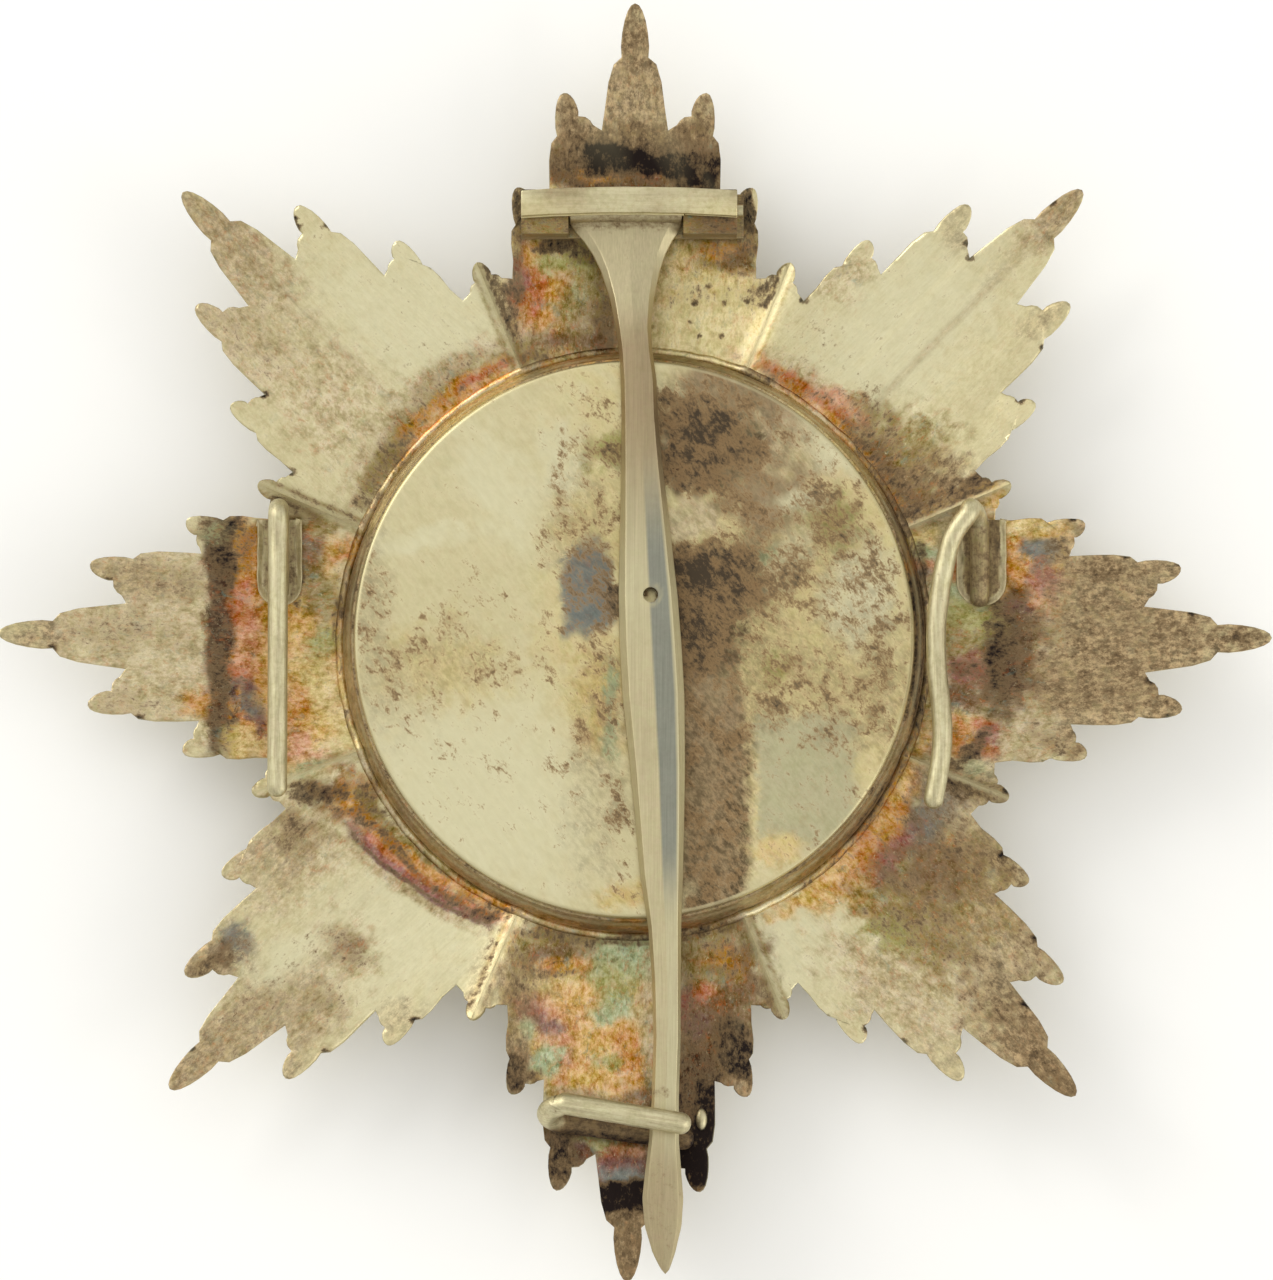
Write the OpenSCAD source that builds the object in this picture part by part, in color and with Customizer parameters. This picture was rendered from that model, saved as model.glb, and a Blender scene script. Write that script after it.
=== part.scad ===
// Eight-pointed breast star of a silver order, lying face down so that its back shows.
// The frame: +Z is the back of the star, +Y is its top, and the origin is on the axis of
// the star, in the flat plane of the front medallion that it rests on. Millimetres.

/* [Star] */
// Reach of the middle ray of each arm, from the axis to its tip
ray_reach = 42.6; // [40:0.1:45]
// Height of the back face beside the hub, in the middle of an arm
hub_height = 4.7; // [4.4:0.05:5]
// How much further back the tips stand than the hub
tip_rise = 2.2; // [1.6:0.1:2.4]
// Height of the sharp folds between the arms above the middle of the arms
fold_height = 1.3; // [0.8:0.05:1.4]
// Thickness of the metal along the middle of a ray, beside the hub
ray_thickness = 1.25; // [1:0.05:1.3]
// Thickness of the metal along the edges of a ray, beside the hub
edge_thickness = 0.8; // [0.6:0.05:0.9]

/* [Hub] */
// Radius of the round drum that the arms are set round
drum_radius = 19.8; // [19.6:0.05:19.9]
// Wall of the drum
drum_wall = 1.1; // [0.9:0.05:1.3]
// Radius of the lid on the back of the drum
lid_radius = 18.7; // [18.4:0.05:18.9]
// Height of the flat of the lid above the front rest
lid_height = 8; // [7.9:0.05:8.1]
// Thickness of the lid
lid_thickness = 0.65; // [0.5:0.05:0.8]
// Outer radius of the ring round the front medallion
bezel_radius = 20.6; // [20.2:0.1:21]

/* [Hinge] */
// Distance of the hinge rod above the axis of the star
rod_y = 28.7; // [28.6:0.05:28.8]
// Height of the hinge rod
rod_z = 8.2; // [8.15:0.05:8.3]
// Radius of the hinge rod
rod_radius = 0.4; // [0.36:0.01:0.42]
// Radius of the rolled end of the pin
knuckle_radius = 0.8; // [0.75:0.01:0.82]

/* [Wires] */
// Diameter of the catch wire
catch_wire = 1.5; // [1.3:0.05:1.55]
// Diameter of the wire of the side hooks
hook_wire = 1.35; // [1.2:0.05:1.45]
// Height between the two runs of a side hook, centre to centre
hook_lift = 2.2; // [2:0.05:2.4]

/* [Hidden] */
$fn = 96;

silver = [0.80, 0.76, 0.62];
toned_silver = [0.62, 0.50, 0.34];
bright_silver = [0.86, 0.83, 0.70];

// Gap between pieces that are soldered or laid together
gap = 0.04;
// Radial clearance of the hinge rod in its bores
rod_play = 0.03;

// Rays: there are eight arms of six rays, and the ray between two arms counts half for each
arm_count = 8;
rays_per_arm = 6;
ray_count = arm_count * rays_per_arm;
ray_step = 360 / ray_count;
arm_half = 360 / arm_count / 2;

// Kinds of ray, from the middle of an arm to the fold beside it. Columns: how far its tip
// stands back from ray_reach, length of the leaf at its tip, half width of the leaf, half
// width of the bead behind the leaf, depth of the valley towards the fold below ray_reach,
// and angle from the middle of the arm
RAY_KINDS = [
    [0, 3.6, 0.97, 2.05, 8.4, 0],
    [5.7, 2.8, 0.86, 1.75, 12.9, 7.4],
    [11.4, 2.4, 0.76, 1.50, 17.1, 14.5],
    [15.3, 1.7, 0.66, 1.20, 17.1, 22.5]
];

// The arms, anticlockwise from the top one. Columns: turn in degrees from its even place,
// and how much longer its rays are
ARMS = [
    [-0.1, 0.4],
    [0.1, 0.15],
    [-0.6, -0.15],
    [-0.8, 0.45],
    [-0.6, 0.2],
    [-1.05, -0.3],
    [0.2, 0.0],
    [0.25, 0.1]
];

// Stations along a ray. The first lie on the edge that two rays share, as parts of the way
// from the hub to the valley. Then follow parts of the bead, and parts of the leaf.
SHARED = [0, 0.25, 0.5, 0.75, 1];
BEAD = [0.68, 0.35, 0.1];
LEAF = [1, 0.8, 0.55, 0.32, 0.14, 0.04];
shared_last = len(SHARED) - 1;
free_count = len(BEAD) + len(LEAF);
tip_station = shared_last + free_count + 1;
// Longest part of the way from the tip to the valley that the leaf takes up
leaf_share = 0.62;
// Width of the notch behind the leaf, against the width of the leaf
notch_share = 0.93;
// The inner edge of the arms, a little clear of the drum
hub_edge = drum_radius + 0.06;
// How the rise to the tips and the rise to the folds are bent: 1 is straight
rise_power = 1.15;
fold_power = 1.4;
// Thickness at the tips, against the thickness beside the hub
tip_thickness_share = 0.5;

function mix(a, b, t) = a + (b - a) * t;
function wrap(i, n) = (i + n) % n;
function kind_of(j) = let (m = wrap(j, rays_per_arm)) min(m, rays_per_arm - m);
function arm_of(j) = wrap(floor((j + rays_per_arm / 2) / rays_per_arm), arm_count);
function is_fold(j) = kind_of(j) == rays_per_arm / 2;

// Turn and length of a ray: those of its arm, or the mean of two arms on a fold
function arm_value(j, column) =
    is_fold(j)
        ? mix(ARMS[arm_of(j)][column], ARMS[wrap(arm_of(j) - 1, arm_count)][column], 0.5)
        : ARMS[arm_of(j)][column];
function ray_angle(j) =
    let (
        whole = floor((j + rays_per_arm / 2) / rays_per_arm),
        side = j - whole * rays_per_arm
    )
    90 + whole * 2 * arm_half + sign(side) * RAY_KINDS[kind_of(j)][5] + arm_value(j, 0);
function edge_angle(j) = (ray_angle(j) + ray_angle(j + 1)) / 2;
function tip_radius(j) = ray_reach - RAY_KINDS[kind_of(j)][0] + arm_value(j, 1);
function valley_radius(j) =
    ray_reach - RAY_KINDS[min(kind_of(j), kind_of(wrap(j + 1, ray_count)))][4]
    + (arm_value(j, 1) + arm_value(j + 1, 1)) / 2;

// One side of a ray: how far behind the tip each free station is, and how wide it is there
function leaf_length(j, depth) = min(RAY_KINDS[kind_of(j)][1], leaf_share * depth);
function free_back(j, depth) =
    let (leaf = leaf_length(j, depth))
    concat([for (b = BEAD) mix(leaf, depth, b)], [for (b = LEAF) b * leaf]);
function free_half(j) =
    let (
        leaf = RAY_KINDS[kind_of(j)][2],
        bead = RAY_KINDS[kind_of(j)][3]
    )
    concat(
        [for (b = BEAD) mix(leaf, bead, sqrt(1 - pow(1 - b, 2)))],
        [for (b = LEAF) leaf * sqrt(1 - pow(1 - b, 2)) * (b == 1 ? notch_share : 1)]
    );

// Heights of the back and of the front of the sheet
function reach_part(r) = max(0, (r - drum_radius) / (ray_reach - drum_radius));
function back_z(r, f) =
    hub_height + tip_rise * pow(reach_part(r), rise_power) + fold_height * pow(f, fold_power);
function front_z(r, f, thickness) =
    back_z(r, f) - thickness * mix(1, tip_thickness_share, reach_part(r));

// Part of the way from the middle of an arm to the fold, for ray j and for the edge after it
function ray_fold(j) = kind_of(j) / (rays_per_arm / 2);
function edge_fold(j) = (kind_of(j) + kind_of(wrap(j + 1, ray_count))) / rays_per_arm;

function polar(r, a) = [r * cos(a), r * sin(a)];
// A point beside the middle line of ray j, side 1 being anticlockwise
function beside(j, r, half, side) =
    polar(r, ray_angle(j)) + side * half * [-sin(ray_angle(j)), cos(ray_angle(j))];

// Plan points of one ray: the shared edge after it, its middle line, its two free sides
function edge_plan(j) = [for (s = SHARED) polar(mix(hub_edge, valley_radius(j), s), edge_angle(j))];
function side_plan(j, valley, side) =
    let (
        depth = tip_radius(j) - valley,
        back = free_back(j, depth),
        half = free_half(j)
    )
    [for (k = [0:free_count - 1]) beside(j, tip_radius(j) - back[k], half[k], side)];
function middle_plan(j) =
    let (
        left = valley_radius(j),
        right = valley_radius(wrap(j - 1, ray_count)),
        left_back = free_back(j, tip_radius(j) - left),
        right_back = free_back(j, tip_radius(j) - right)
    )
    concat(
        [for (s = SHARED) polar(mix(hub_edge, (left + right) / 2, s), ray_angle(j))],
        [
            for (k = [0:free_count - 1])
                polar(tip_radius(j) - (left_back[k] + right_back[k]) / 2, ray_angle(j))
        ]
    );

function raise(plan, f, thickness, front) = [
    for (p = plan) let (r = norm(p))
        [p[0], p[1], front ? front_z(r, f, thickness) : back_z(r, f)]
];

// All points of one face of the sheet, ray by ray
function ray_points(j, front) = concat(
    raise(edge_plan(j), edge_fold(j), edge_thickness, front),
    raise(middle_plan(j), ray_fold(j), ray_thickness, front),
    raise(side_plan(j, valley_radius(j), 1), ray_fold(j), edge_thickness, front),
    raise(side_plan(j, valley_radius(wrap(j - 1, ray_count)), -1), ray_fold(j), edge_thickness, front),
    raise([polar(tip_radius(j), ray_angle(j))], ray_fold(j), edge_thickness, front)
);
block = 2 * len(SHARED) + 3 * free_count + 1;
face_points = ray_count * block;

function left_index(j, i) =
    i <= shared_last ? j * block + i
    : i < tip_station ? j * block + len(SHARED) + tip_station + i - len(SHARED)
    : (j + 1) * block - 1;
function middle_index(j, i) = i < tip_station ? j * block + len(SHARED) + i : (j + 1) * block - 1;
function right_index(j, i) =
    i <= shared_last ? wrap(j - 1, ray_count) * block + i
    : i < tip_station ? j * block + len(SHARED) + tip_station + free_count + i - len(SHARED)
    : (j + 1) * block - 1;

// Triangles of one face between two lines of points, a lying clockwise of b
function strip(a0, a1, b0, b1) = a1 == b1 ? [[a0, b0, b1]] : [[a0, b0, b1], [a0, b1, a1]];
function flip(tri) = [tri[0] + face_points, tri[2] + face_points, tri[1] + face_points];
function rim(a, b) = [[a, b, b + face_points], [a, b + face_points, a + face_points]];

function back_triangles(j) = [
    for (i = [0:tip_station - 1])
        for (t = concat(
            strip(right_index(j, i), right_index(j, i + 1), middle_index(j, i), middle_index(j, i + 1)),
            strip(middle_index(j, i), middle_index(j, i + 1), left_index(j, i), left_index(j, i + 1))
        )) t
];
function rim_triangles(j) = concat(
    [
        for (i = [shared_last:tip_station - 1])
            for (t = concat(
                rim(right_index(j, i), right_index(j, i + 1)),
                rim(left_index(j, i + 1), left_index(j, i))
            )) t
    ],
    rim(middle_index(j, 0), right_index(j, 0)),
    rim(left_index(j, 0), middle_index(j, 0))
);

module star_sheet() {
    points = concat(
        [for (j = [0:ray_count - 1]) for (p = ray_points(j, false)) p],
        [for (j = [0:ray_count - 1]) for (p = ray_points(j, true)) p]
    );
    back = [for (j = [0:ray_count - 1]) for (t = back_triangles(j)) t];
    front = [for (t = back) flip(t)];
    edges = [for (j = [0:ray_count - 1]) for (t = rim_triangles(j)) t];
    color(silver) polyhedron(points = points, faces = concat(back, front, edges));
}

// The drum in the middle. Its wall leans in towards the lid in a hollow curve
collar_top = lid_height - lid_thickness - gap;
drum_foot = 1.2;
// Columns: radius, height
COLLAR_WALL = [
    [drum_radius, drum_foot],
    [drum_radius, 5.3],
    [drum_radius - 0.12, 5.9],
    [drum_radius - 0.40, 6.5],
    [drum_radius - 0.72, 6.95],
    [lid_radius + 0.16, collar_top]
];
module hub_collar() {
    color(toned_silver) rotate_extrude()
        polygon(concat(
            [[drum_radius - drum_wall, collar_top], [drum_radius - drum_wall, drum_foot]],
            COLLAR_WALL
        ));
}

lid_bevel = 0.28;
module back_lid() {
    bottom = lid_height - lid_thickness;
    color(bright_silver) rotate_extrude()
        polygon([
            [0, bottom],
            [lid_radius, bottom],
            [lid_radius, lid_height - lid_bevel],
            [lid_radius - lid_bevel, lid_height],
            [0, lid_height]
        ]);
}

// The front: a plain ring round a plain medallion, both flat in the plane of the origin
front_height = drum_foot - gap;
bezel_in = 17.9;
bezel_flat = 19.4;
medallion_flat = 16.8;
// The outside of the ring. Columns: radius, height
BEZEL_WALL = [
    [bezel_flat, 0],
    [bezel_flat + 0.6, 0.35],
    [bezel_radius - 0.15, 1.1],
    [bezel_radius, 1.9],
    [bezel_radius - 0.3, 2.8],
    [drum_radius + 0.4, 3.3]
];
module front_ring() {
    inner = drum_radius + gap;
    top = BEZEL_WALL[len(BEZEL_WALL) - 1][1];
    color(silver) rotate_extrude()
        polygon(concat(
            [[bezel_in, 0]],
            BEZEL_WALL,
            [[inner, top], [inner, front_height], [bezel_in, front_height]]
        ));
}

module front_disc() {
    color(silver) rotate_extrude()
        polygon([
            [0, 0],
            [medallion_flat, 0],
            [bezel_in - gap, front_height],
            [0, front_height]
        ]);
}

// The hinge: a folded strip with a block at each end that carries the rod
hinge_left = -7.55;
hinge_right = 7.35;
strip_right = 6.9;
hinge_back = 30.05;
hinge_front = 27.1;
strip_front = 28.3;
hinge_bottom = 6.42;
hinge_base = 0.5;
strip_bottom = 9.1;
strip_height = 0.5;
block_top = 8.8;
head_left = -4.3;
head_right = 3.2;
head_gap = 0.08;
// Room behind the rolled end of the pin, and the step of the blocks behind the base's edge
knuckle_room = 0.1;
block_step = 0.05;

module box_between(low, high) {
    translate(low) cube(high - low);
}

module hinge_block(x0, x1) {
    base_top = hinge_bottom + hinge_base / 2;
    box_between([x0, hinge_front, base_top], [x1, hinge_back, block_top]);
    box_between([x0, strip_front, base_top], [x1, hinge_back, strip_bottom + strip_height / 2]);
}

module hinge_box() {
    color(toned_silver) difference() {
        union() {
            box_between(
                [hinge_left, hinge_front - block_step, hinge_bottom],
                [hinge_right, hinge_back, hinge_bottom + hinge_base]
            );
            box_between(
                [hinge_left, rod_y + knuckle_radius + knuckle_room, hinge_bottom],
                [strip_right, hinge_back, strip_bottom + strip_height]
            );
            box_between(
                [hinge_left, strip_front, strip_bottom],
                [strip_right, hinge_back, strip_bottom + strip_height]
            );
            hinge_block(hinge_left, head_left - head_gap);
            hinge_block(head_right + head_gap, strip_right);
        }
        rod_bore(hinge_left - 1, hinge_right + 1);
    }
}

module rod_bore(x0, x1) {
    translate([x0, rod_y, rod_z]) rotate([0, 90, 0])
        cylinder(r = rod_radius + rod_play, h = x1 - x0);
}

// How far the rod's ends stay inside the hinge, left and right
rod_end_gap = [0.1, 0.05];
module hinge_rod() {
    color(silver) translate([hinge_left + rod_end_gap[0], rod_y, rod_z]) rotate([0, 90, 0])
        cylinder(r = rod_radius, h = hinge_right - hinge_left - rod_end_gap[0] - rod_end_gap[1]);
}

// The pin: a flat blade with a wide head rolled round the rod, a broad middle, a narrow
// neck and a leaf-shaped point. Columns: place along Y, middle in X, half width, height of
// its underside, and thickness
PIN_SECTIONS = [
    [28.7, -0.54, 3.72, 7.45, 0.75],
    [27.8, -0.54, 3.72, 7.45, 0.75],
    [27.3, -0.48, 3.38, 7.46, 0.76],
    [26.7, -0.41, 2.94, 7.50, 0.80],
    [25.8, -0.33, 2.42, 7.58, 0.85],
    [24.6, -0.24, 1.94, 7.72, 0.92],
    [22.8, -0.14, 1.47, 7.96, 1.00],
    [20.8, -0.04, 1.18, 8.22, 1.00],
    [19.2, 0.12, 1.12, 8.32, 1.00],
    [17.2, 0.31, 1.20, 8.36, 1.00],
    [14.7, 0.38, 1.22, 8.40, 1.00],
    [11.5, 0.52, 1.38, 8.43, 1.00],
    [8.0, 0.70, 1.62, 8.46, 1.00],
    [2.8, 0.94, 1.97, 8.50, 1.00],
    [-0.8, 1.12, 2.07, 8.50, 1.00],
    [-4.0, 1.30, 2.07, 8.50, 1.00],
    [-8.8, 1.58, 1.83, 8.50, 1.00],
    [-12.6, 1.72, 1.62, 8.50, 0.98],
    [-16.0, 1.84, 1.42, 8.50, 0.95],
    [-19.4, 2.04, 1.10, 8.50, 0.90],
    [-23.0, 2.16, 0.96, 8.50, 0.84],
    [-26.8, 2.20, 0.90, 8.50, 0.78],
    [-30.9, 2.07, 0.90, 8.50, 0.74],
    [-33.6, 1.98, 1.00, 8.49, 0.70],
    [-35.6, 1.93, 1.20, 8.47, 0.66],
    [-37.4, 1.91, 1.36, 8.45, 0.60],
    [-39.2, 1.93, 1.22, 8.42, 0.52],
    [-41.0, 1.98, 0.74, 8.38, 0.42],
    [-42.0, 2.06, 0.32, 8.35, 0.32],
    [-42.4, 2.10, 0.06, 8.33, 0.22]
];
// Share of the half width that the bevel takes, and of the thickness that it leaves square
pin_bevel = 0.24;
pin_square = 0.5;
// Height of the low ridge on top, the half width from which it is full, and its run-out
// towards the hinge
pin_ridge = 0.10;
ridge_full_half = 1.2;
ridge_run = 6;
pin_hole = [1.1, 2.75];
pin_hole_radius = 0.5;

function pin_ring(s) =
    let (
        w = s[2],
        flat = w * (1 - pin_bevel),
        low = s[3],
        top = s[3] + s[4],
        waist = s[3] + pin_square * s[4],
        ridge = top + pin_ridge * min(1, w / ridge_full_half) * min(1, (rod_y - s[0]) / ridge_run)
    )
    [
        [s[1] - w, s[0], low],
        [s[1] - w, s[0], waist],
        [s[1] - flat, s[0], top],
        [s[1], s[0], ridge],
        [s[1] + flat, s[0], top],
        [s[1] + w, s[0], waist],
        [s[1] + w, s[0], low]
    ];

// A closed skin over rings of points that follow each other, capped at both ends
module skin(rings) {
    n = len(rings[0]);
    last = len(rings) - 1;
    sides = [
        for (i = [0:last - 1])
            for (k = [0:n - 1])
                let (
                    a = i * n + k,
                    b = i * n + (k + 1) % n
                )
                for (t = [[a, b, b + n], [a, b + n, a + n]]) t
    ];
    caps = [
        [for (k = [0:n - 1]) n - 1 - k],
        [for (k = [0:n - 1]) last * n + k]
    ];
    polyhedron(points = [for (r = rings) for (p = r) p], faces = concat(sides, caps));
}

module pin() {
    color(bright_silver) difference() {
        union() {
            skin([for (s = PIN_SECTIONS) pin_ring(s)]);
            translate([head_left, rod_y, rod_z]) rotate([0, 90, 0])
                cylinder(r = knuckle_radius, h = head_right - head_left);
        }
        rod_bore(head_left - 1, head_right + 1);
        translate([pin_hole[0], pin_hole[1], 0]) cylinder(r = pin_hole_radius, h = 2 * rod_z);
    }
}

// A round wire along a path, with round ends
wire_sides = 12;
// Columns: place along the wire, and radius there, both against the wire's radius
END_ROUND = [[-0.96, 0.28], [-0.72, 0.69], [-0.35, 0.94]];
function unit(v) = v / norm(v);
function along(path, i) =
    unit(path[min(i + 1, len(path) - 1)] - path[max(i - 1, 0)]);
function wire_ring(p, t, side, radius) =
    let (
        u = unit(cross(t, side)),
        v = cross(u, t)
    )
    [
        for (k = [0:wire_sides - 1])
            p + radius * (cos(360 * k / wire_sides) * u + sin(360 * k / wire_sides) * v)
    ];
module wire(path, diameter, side) {
    r = diameter / 2;
    last = len(path) - 1;
    first_way = along(path, 0);
    last_way = along(path, last);
    rings = concat(
        [for (e = END_ROUND) wire_ring(path[0] + e[0] * r * first_way, first_way, side, e[1] * r)],
        [for (i = [0:last]) wire_ring(path[i], along(path, i), side, r)],
        [
            for (k = [len(END_ROUND) - 1:-1:0])
                wire_ring(
                    path[last] - END_ROUND[k][0] * r * last_way, last_way, side, END_ROUND[k][1] * r
                )
        ]
    );
    skin(rings);
}

// Half a turn from one point up to another above it, bulging along a direction
bend_steps = 10;
function bend(low, high, bulge) = [
    for (k = [0:bend_steps])
        let (a = 180 * k / bend_steps)
        mix(low, high, (1 - cos(a)) / 2) + bulge * sin(a)
];

// The catch: a wire soldered across the lower arm, bent back over itself above the pin
catch_low = 7.06;
catch_high = 10.18;
catch_bulge = [-1.5, 0, 0];
CATCH_FOOT = [3.3, -33.35, catch_low];
CATCH_BEND_LOW = [-4.2, -32.3, catch_low];
CATCH_BEND_HIGH = [-4.2, -31.25, catch_high];
CATCH_END = [3.1, -32.5, catch_high];
module catch_hook() {
    color(bright_silver) wire(
        concat([CATCH_FOOT], bend(CATCH_BEND_LOW, CATCH_BEND_HIGH, catch_bulge), [CATCH_END]),
        catch_wire,
        [0, 1, 0]
    );
}

// A drop of solder beside the open end of the catch
drop_place = [4.5, -32.0, 6.17];
// Half its width and half its length
drop_half = [0.38, 0.72];
module solder_drop() {
    color(bright_silver) translate(drop_place) intersection() {
        rotate([90, 0, 0]) rotate_extrude($fn = 32)
            polygon(concat(
                [[0, drop_half[1]], [0, -drop_half[1]]],
                [for (a = [-75:15:75]) [drop_half[0] * cos(a), drop_half[1] * sin(a)]]
            ));
        box_between([-1, -1, 0], [1, 1, 1]);
    }
}

// The side hooks: a plate that lies on the slope beside a fold, with a wire soldered to it
// that turns back over it and runs down free
plate_top = 8.15;
plate_low = 6.22;
plate_height = 0.5;
plate_tilt = 7.5;
plate_length = 5.8;
// How deep the wire sits in the solder of the plate
wire_sink = 0.12;
hook_high = wire_seat(plate_top) + hook_lift;

// Height of the middle of a wire that lies on the plate
function wire_seat(y) =
    plate_low + plate_height - (plate_top - y) * tan(plate_tilt) + hook_wire / 2 - wire_sink;

module hook_plate(x0, x1) {
    round_end = (x1 - x0) / 2;
    translate([0, plate_top, plate_low]) rotate([plate_tilt, 0, 0]) {
        box_between([x0, round_end - plate_length, 0], [x1, 0, plate_height]);
        translate([(x0 + x1) / 2, round_end - plate_length, 0])
            cylinder(r = round_end, h = plate_height);
    }
}

left_x = -23.7;
// Places along Y: the soldered end, the turn at the top, and the free end
left_foot = 3.3;
left_turn = 7.9;
left_end = -10.1;
left_bulge = [0, 0.75, 0];
LEFT_PATH = concat(
    [[left_x, left_foot, wire_seat(left_foot)]],
    bend([left_x, left_turn, wire_seat(left_turn)], [left_x, left_turn, hook_high], left_bulge),
    [[left_x, 0, hook_high], [left_x, left_end, hook_high]]
);
module side_hook_left() {
    color(bright_silver) union() {
        hook_plate(-25.2, -22.2);
        wire(LEFT_PATH, hook_wire, [1, 0, 0]);
    }
}

// Free run of the right hook, bent out of line. Columns: X, Y
RIGHT_RUN = [
    [21.9, 7.9],
    [21.3, 6.8],
    [20.75, 5.0],
    [20.35, 2.8],
    [20.1, 0.4],
    [20.15, -2.2],
    [20.4, -4.6],
    [20.5, -6.8],
    [20.25, -9.0],
    [19.9, -10.9]
];
right_x = 23.1;
right_foot = 2.9;
right_turn = 7.4;
right_bulge = [0, 0.7, 0];
RIGHT_TOP = [22.3, 8.2, hook_high];
RIGHT_PATH = concat(
    [[right_x, right_foot, wire_seat(right_foot)]],
    bend([right_x, right_turn, wire_seat(right_turn)], RIGHT_TOP, right_bulge),
    [for (p = RIGHT_RUN) [p[0], p[1], hook_high]]
);
module side_hook_right() {
    color(bright_silver) union() {
        hook_plate(21.6, 24.9);
        wire(RIGHT_PATH, hook_wire, [1, 0, 0]);
    }
}

star_sheet();
hub_collar();
back_lid();
front_ring();
front_disc();
hinge_box();
hinge_rod();
pin();
catch_hook();
solder_drop();
side_hook_left();
side_hook_right();
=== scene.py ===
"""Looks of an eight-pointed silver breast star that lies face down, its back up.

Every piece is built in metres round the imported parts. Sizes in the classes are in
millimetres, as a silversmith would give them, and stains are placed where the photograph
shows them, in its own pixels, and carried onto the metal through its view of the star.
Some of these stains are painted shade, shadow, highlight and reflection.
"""

from __future__ import annotations

import logging
import math
from collections.abc import Callable, Iterable
from dataclasses import dataclass, replace
from enum import Enum, IntEnum
from typing import NamedTuple

import bmesh
import bpy
import numpy as np
from mathutils import Matrix, Vector, noise

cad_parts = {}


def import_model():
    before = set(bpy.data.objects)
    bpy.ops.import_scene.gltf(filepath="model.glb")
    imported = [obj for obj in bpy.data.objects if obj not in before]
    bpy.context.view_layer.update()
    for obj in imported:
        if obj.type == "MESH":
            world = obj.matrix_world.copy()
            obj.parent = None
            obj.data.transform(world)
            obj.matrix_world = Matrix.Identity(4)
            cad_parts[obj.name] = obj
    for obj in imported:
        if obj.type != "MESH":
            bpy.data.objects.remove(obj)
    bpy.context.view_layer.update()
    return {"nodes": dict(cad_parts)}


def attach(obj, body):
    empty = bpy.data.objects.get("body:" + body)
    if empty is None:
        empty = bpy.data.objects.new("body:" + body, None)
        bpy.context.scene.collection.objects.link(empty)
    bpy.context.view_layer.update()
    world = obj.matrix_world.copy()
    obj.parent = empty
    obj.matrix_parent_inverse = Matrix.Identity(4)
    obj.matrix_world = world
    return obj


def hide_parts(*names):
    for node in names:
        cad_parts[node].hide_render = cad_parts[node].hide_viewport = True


LOG = logging.getLogger("breast_star")
MM = 0.001
WELD = 1e-6
SPIN_STEPS = 360
# Blender's noise vectors follow the clock unless a seed is set
NOISE_SEED = 1


class Field(Enum):
    """What a stain is made of, painted shade and highlights among them. Each is kept on the mesh, and the
    finishes read it.
    """

    TONE = "tone"  # colour of the sulphide film, with painted shade and reflection laid in; its alpha is how restless the film is
    UNDER = "under"  # the film that shows through the first one, of the same kind
    GRIME_AND_SHADE = "grime"  # brown and black deposit in specks, and painted shade and shadow
    MATTE = "matte"  # dull tan grain of uncleaned silver, and on the lid some painted shadow right of the pin
    RIM = "rim"  # edges that handling keeps bright, with painted highlights on the outline, the crests and the ribs
    LAY = "lay"  # place in mm with its second axis along the arm, as the file ran


@dataclass(frozen=True)
class Tone:
    """A colour of the film, also used for painted shade and reflection, and how restless it is: how much
    specks and flecks stir it.
    """

    colour: str
    rest: float


# The films, from bare silver on; some also serve as painted shade and reflection
CLEAN = Tone("#d9d2ab", 0.10)
PALE = Tone("#d2c89d", 0.22)
CREAM = Tone("#d6c792", 0.5)
STRAW = Tone("#d4bd82", 0.8)
GOLD = Tone("#d3ab68", 0.9)
ORANGE = Tone("#c38e4e", 1.0)
EMBER = Tone("#b37148", 1.0)
ROSE = Tone("#c8946d", 1.0)
MAGENTA = Tone("#976459", 1.0)
PLUM = Tone("#795c54", 0.9)
SLATE = Tone("#7b7f78", 0.7)
TEAL = Tone("#adb68c", 0.9)
GREEN = Tone("#a8a268", 0.9)
OLIVE = Tone("#998757", 1.0)
BROWN = Tone("#7a6042", 1.0)
UMBER = Tone("#46342a", 0.9)
TAN = Tone("#b8a780", 0.85)
DUSK = Tone("#bab48e", 0.4)
MAUVE = Tone("#9f8d6d", 0.4)
WIRE = Tone("#c3ba95", 0.3)
SAND = Tone("#c9ba92", 0.75)
# Near black: soot, and the painted dark reflection across the upper arm
SOOT_AND_SHADE = Tone("#2b211c", 0.5)
SEPIA = Tone("#514434", 0.6)


class Stain(NamedTuple):
    """One row of a table of stains: an oval, or a squarer patch, that paints one value."""

    x: float  # place across the photograph in pixels, or round the drum in degrees
    y: float  # place down it, or the radius on it, in pixels
    half_x: float  # half the width in pixels, or half the length in degrees
    half_y: float  # half the height, in pixels
    goal: float | Tone  # what it paints: a plain value or a tone
    soft: float = 0.5  # softness of its border
    turn: float = 0.0  # in degrees
    square: float = 2.0  # squareness, 2 being an oval


Rows = list[tuple[float | Tone, ...]]
Pair = tuple[float, float]
Triple = tuple[float, float, float]
Pairs = tuple[Pair, ...]
Triples = tuple[Triple, ...]
Mesh = bpy.types.Mesh
Object = bpy.types.Object
Socket = bpy.types.NodeSocket
BMesh = bmesh.types.BMesh
Vert = bmesh.types.BMVert
Edge = bmesh.types.BMEdge
Face = bmesh.types.BMFace


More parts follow.
